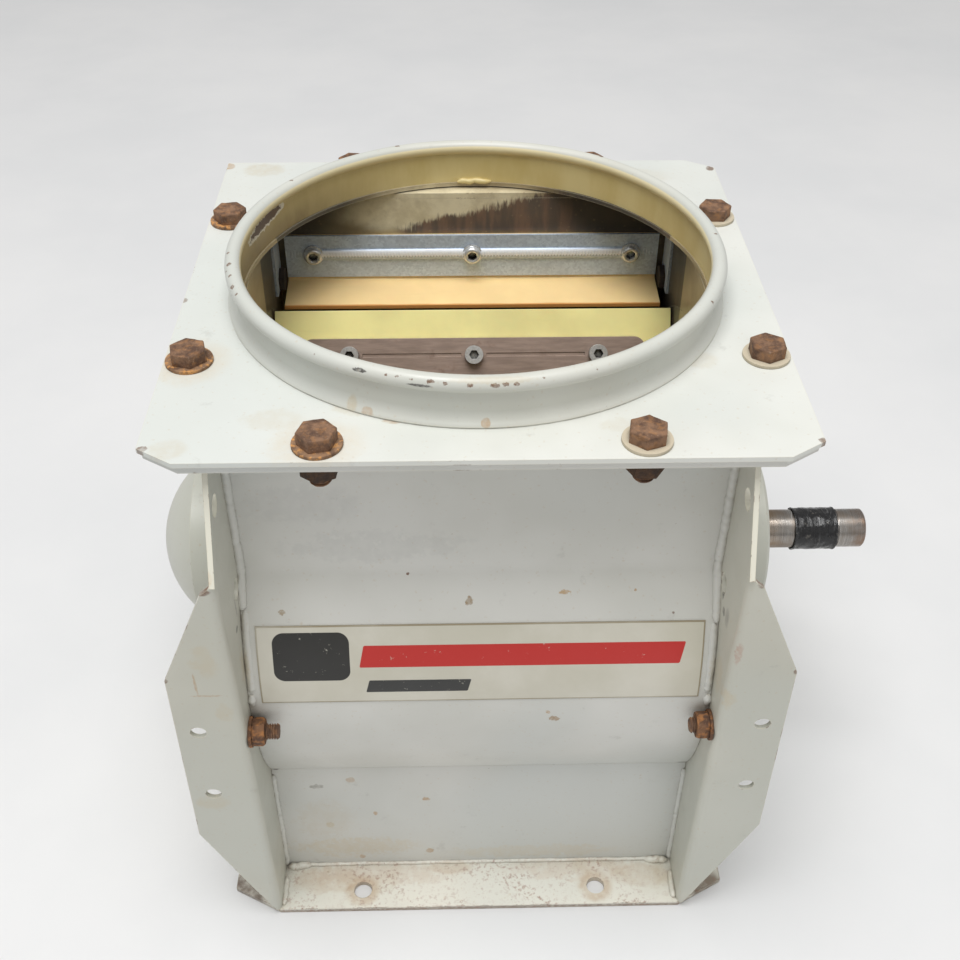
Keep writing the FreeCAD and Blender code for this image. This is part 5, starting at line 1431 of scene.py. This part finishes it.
def tape_radius(angle, base, key_half, key_reach):
    """Distance of the tape from the shaft's axis, at an angle from straight down."""
    angle = abs(angle)
    corner = math.atan2(key_half, key_reach)
    corner_r = math.hypot(key_half, key_reach)
    leave = corner + math.acos(base / corner_r)
    if angle < corner:
        return key_reach / math.cos(angle)
    if angle < leave:
        return base / math.cos(leave - angle)
    return base


def make_wrapped_tape():
    """A creased wrap round the shaft and its key."""
    length = tape_high.x - tape_low.x
    base = tape_high.z - AXIS_Z - 0.25 * MM
    wrap = cylinder(96, base, length, ((tape_low.x + tape_high.x) / 2, 0, AXIS_Z), ALONG_X, "NOTHING")
    for number in range(1, 40):
        edit(wrap)
        bpy.ops.mesh.bisect(plane_co=(tape_low.x + length * number / 40, 0, 0), plane_no=(1, 0, 0))
    bpy.ops.object.mode_set(mode="OBJECT")
    key_reach = AXIS_Z - key_low.z
    for vertex in wrap.data.vertices:
        angle = math.atan2(vertex.co.y, AXIS_Z - vertex.co.z)
        over_key = key_low.x - 1 * MM < vertex.co.x < key_high.x + 1 * MM
        reach = tape_radius(angle, base, (key_high.y - key_low.y) / 2, key_reach) if over_key else base
        end = min(vertex.co.x - tape_low.x, tape_high.x - vertex.co.x)
        roll = 0.45 * MM * math.exp(-((end - 0.9 * MM) / (0.8 * MM)) ** 2)
        lap = 0.18 * MM if math.sin(vertex.co.x * 390 + angle * 0.9) > 0.2 else 0.0
        reach += roll + lap
        vertex.co.y = reach * math.sin(angle)
        vertex.co.z = AXIS_Z - reach * math.cos(angle)
    creases = bpy.data.textures.new("tape_creases", "CLOUDS")
    creases.noise_scale = 0.005
    creases.noise_depth = 3
    apply_modifier(wrap, "DISPLACE", texture=creases, strength=1.1 * MM, mid_level=0.62)
    apply_modifier(wrap, "SOLIDIFY", thickness=1.0 * MM, offset=-1.0)
    smooth(wrap, 60)
    finish_piece(wrap, "tape_wrapped", "rotor", vinyl_tape)
    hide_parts("shaft_tape")
    return wrap


tape = make_wrapped_tape()
print("tape:", len(tape.data.polygons), "faces, out to", round(max(v.co.z for v in tape.data.vertices), 4))

# %% Materials on the parts that stay
PLAIN_PARTS = {
    "inlet_gasket": gasket_rubber, "shaft_seal_right": gasket_rubber,
    "drive_key": shaft_steel,
    "bearing_outer_ring_left": bearing_steel, "bearing_outer_ring_right": bearing_steel,
    "bearing_inner_ring_left": bearing_steel, "bearing_inner_ring_right": bearing_steel,
    "bearing_balls": bearing_steel, "scraper_nuts": screw_steel,
    "scraper_end_nuts": dark_bolt, "blade_nuts": clamp_screw_steel,
}
for node, finish in PLAIN_PARTS.items():
    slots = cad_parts[node].data.materials
    slots.clear()
    slots.append(finish)
print("parts with their drawn shape:", len(PLAIN_PARTS))

# %% [markdown]
# ## Floor
# The floor is a pale board with faint clouds. It is wide enough to fill the view behind the valve and to
# keep its shadow, and it is no piece of the valve.

# %% Floor


def make_floor():
    """A wide pale board just under the valve."""
    material, shader, place = new_material("pale_floor")
    clouds = ramp(noise(place, 3.0, 4), 0.3, 0.7)
    layer = mixed(clouds, (0.80, 0.80, 0.80), (0.74, 0.745, 0.75))
    coat(shader, layer, ramp(clouds, 0.0, 1.0, 0.5, 0.62), (noise(place, 300.0, 3), 0.1, 0.0005))
    only()
    bpy.ops.mesh.primitive_plane_add(size=9.0, location=(0, 0, -0.3 * MM))
    board = bpy.context.object
    board.name = "pale_floor"
    board.data.materials.append(material)
    return board


floor = make_floor()
print("floor:", floor.name)

# %% Update the scene
bpy.context.view_layer.update()
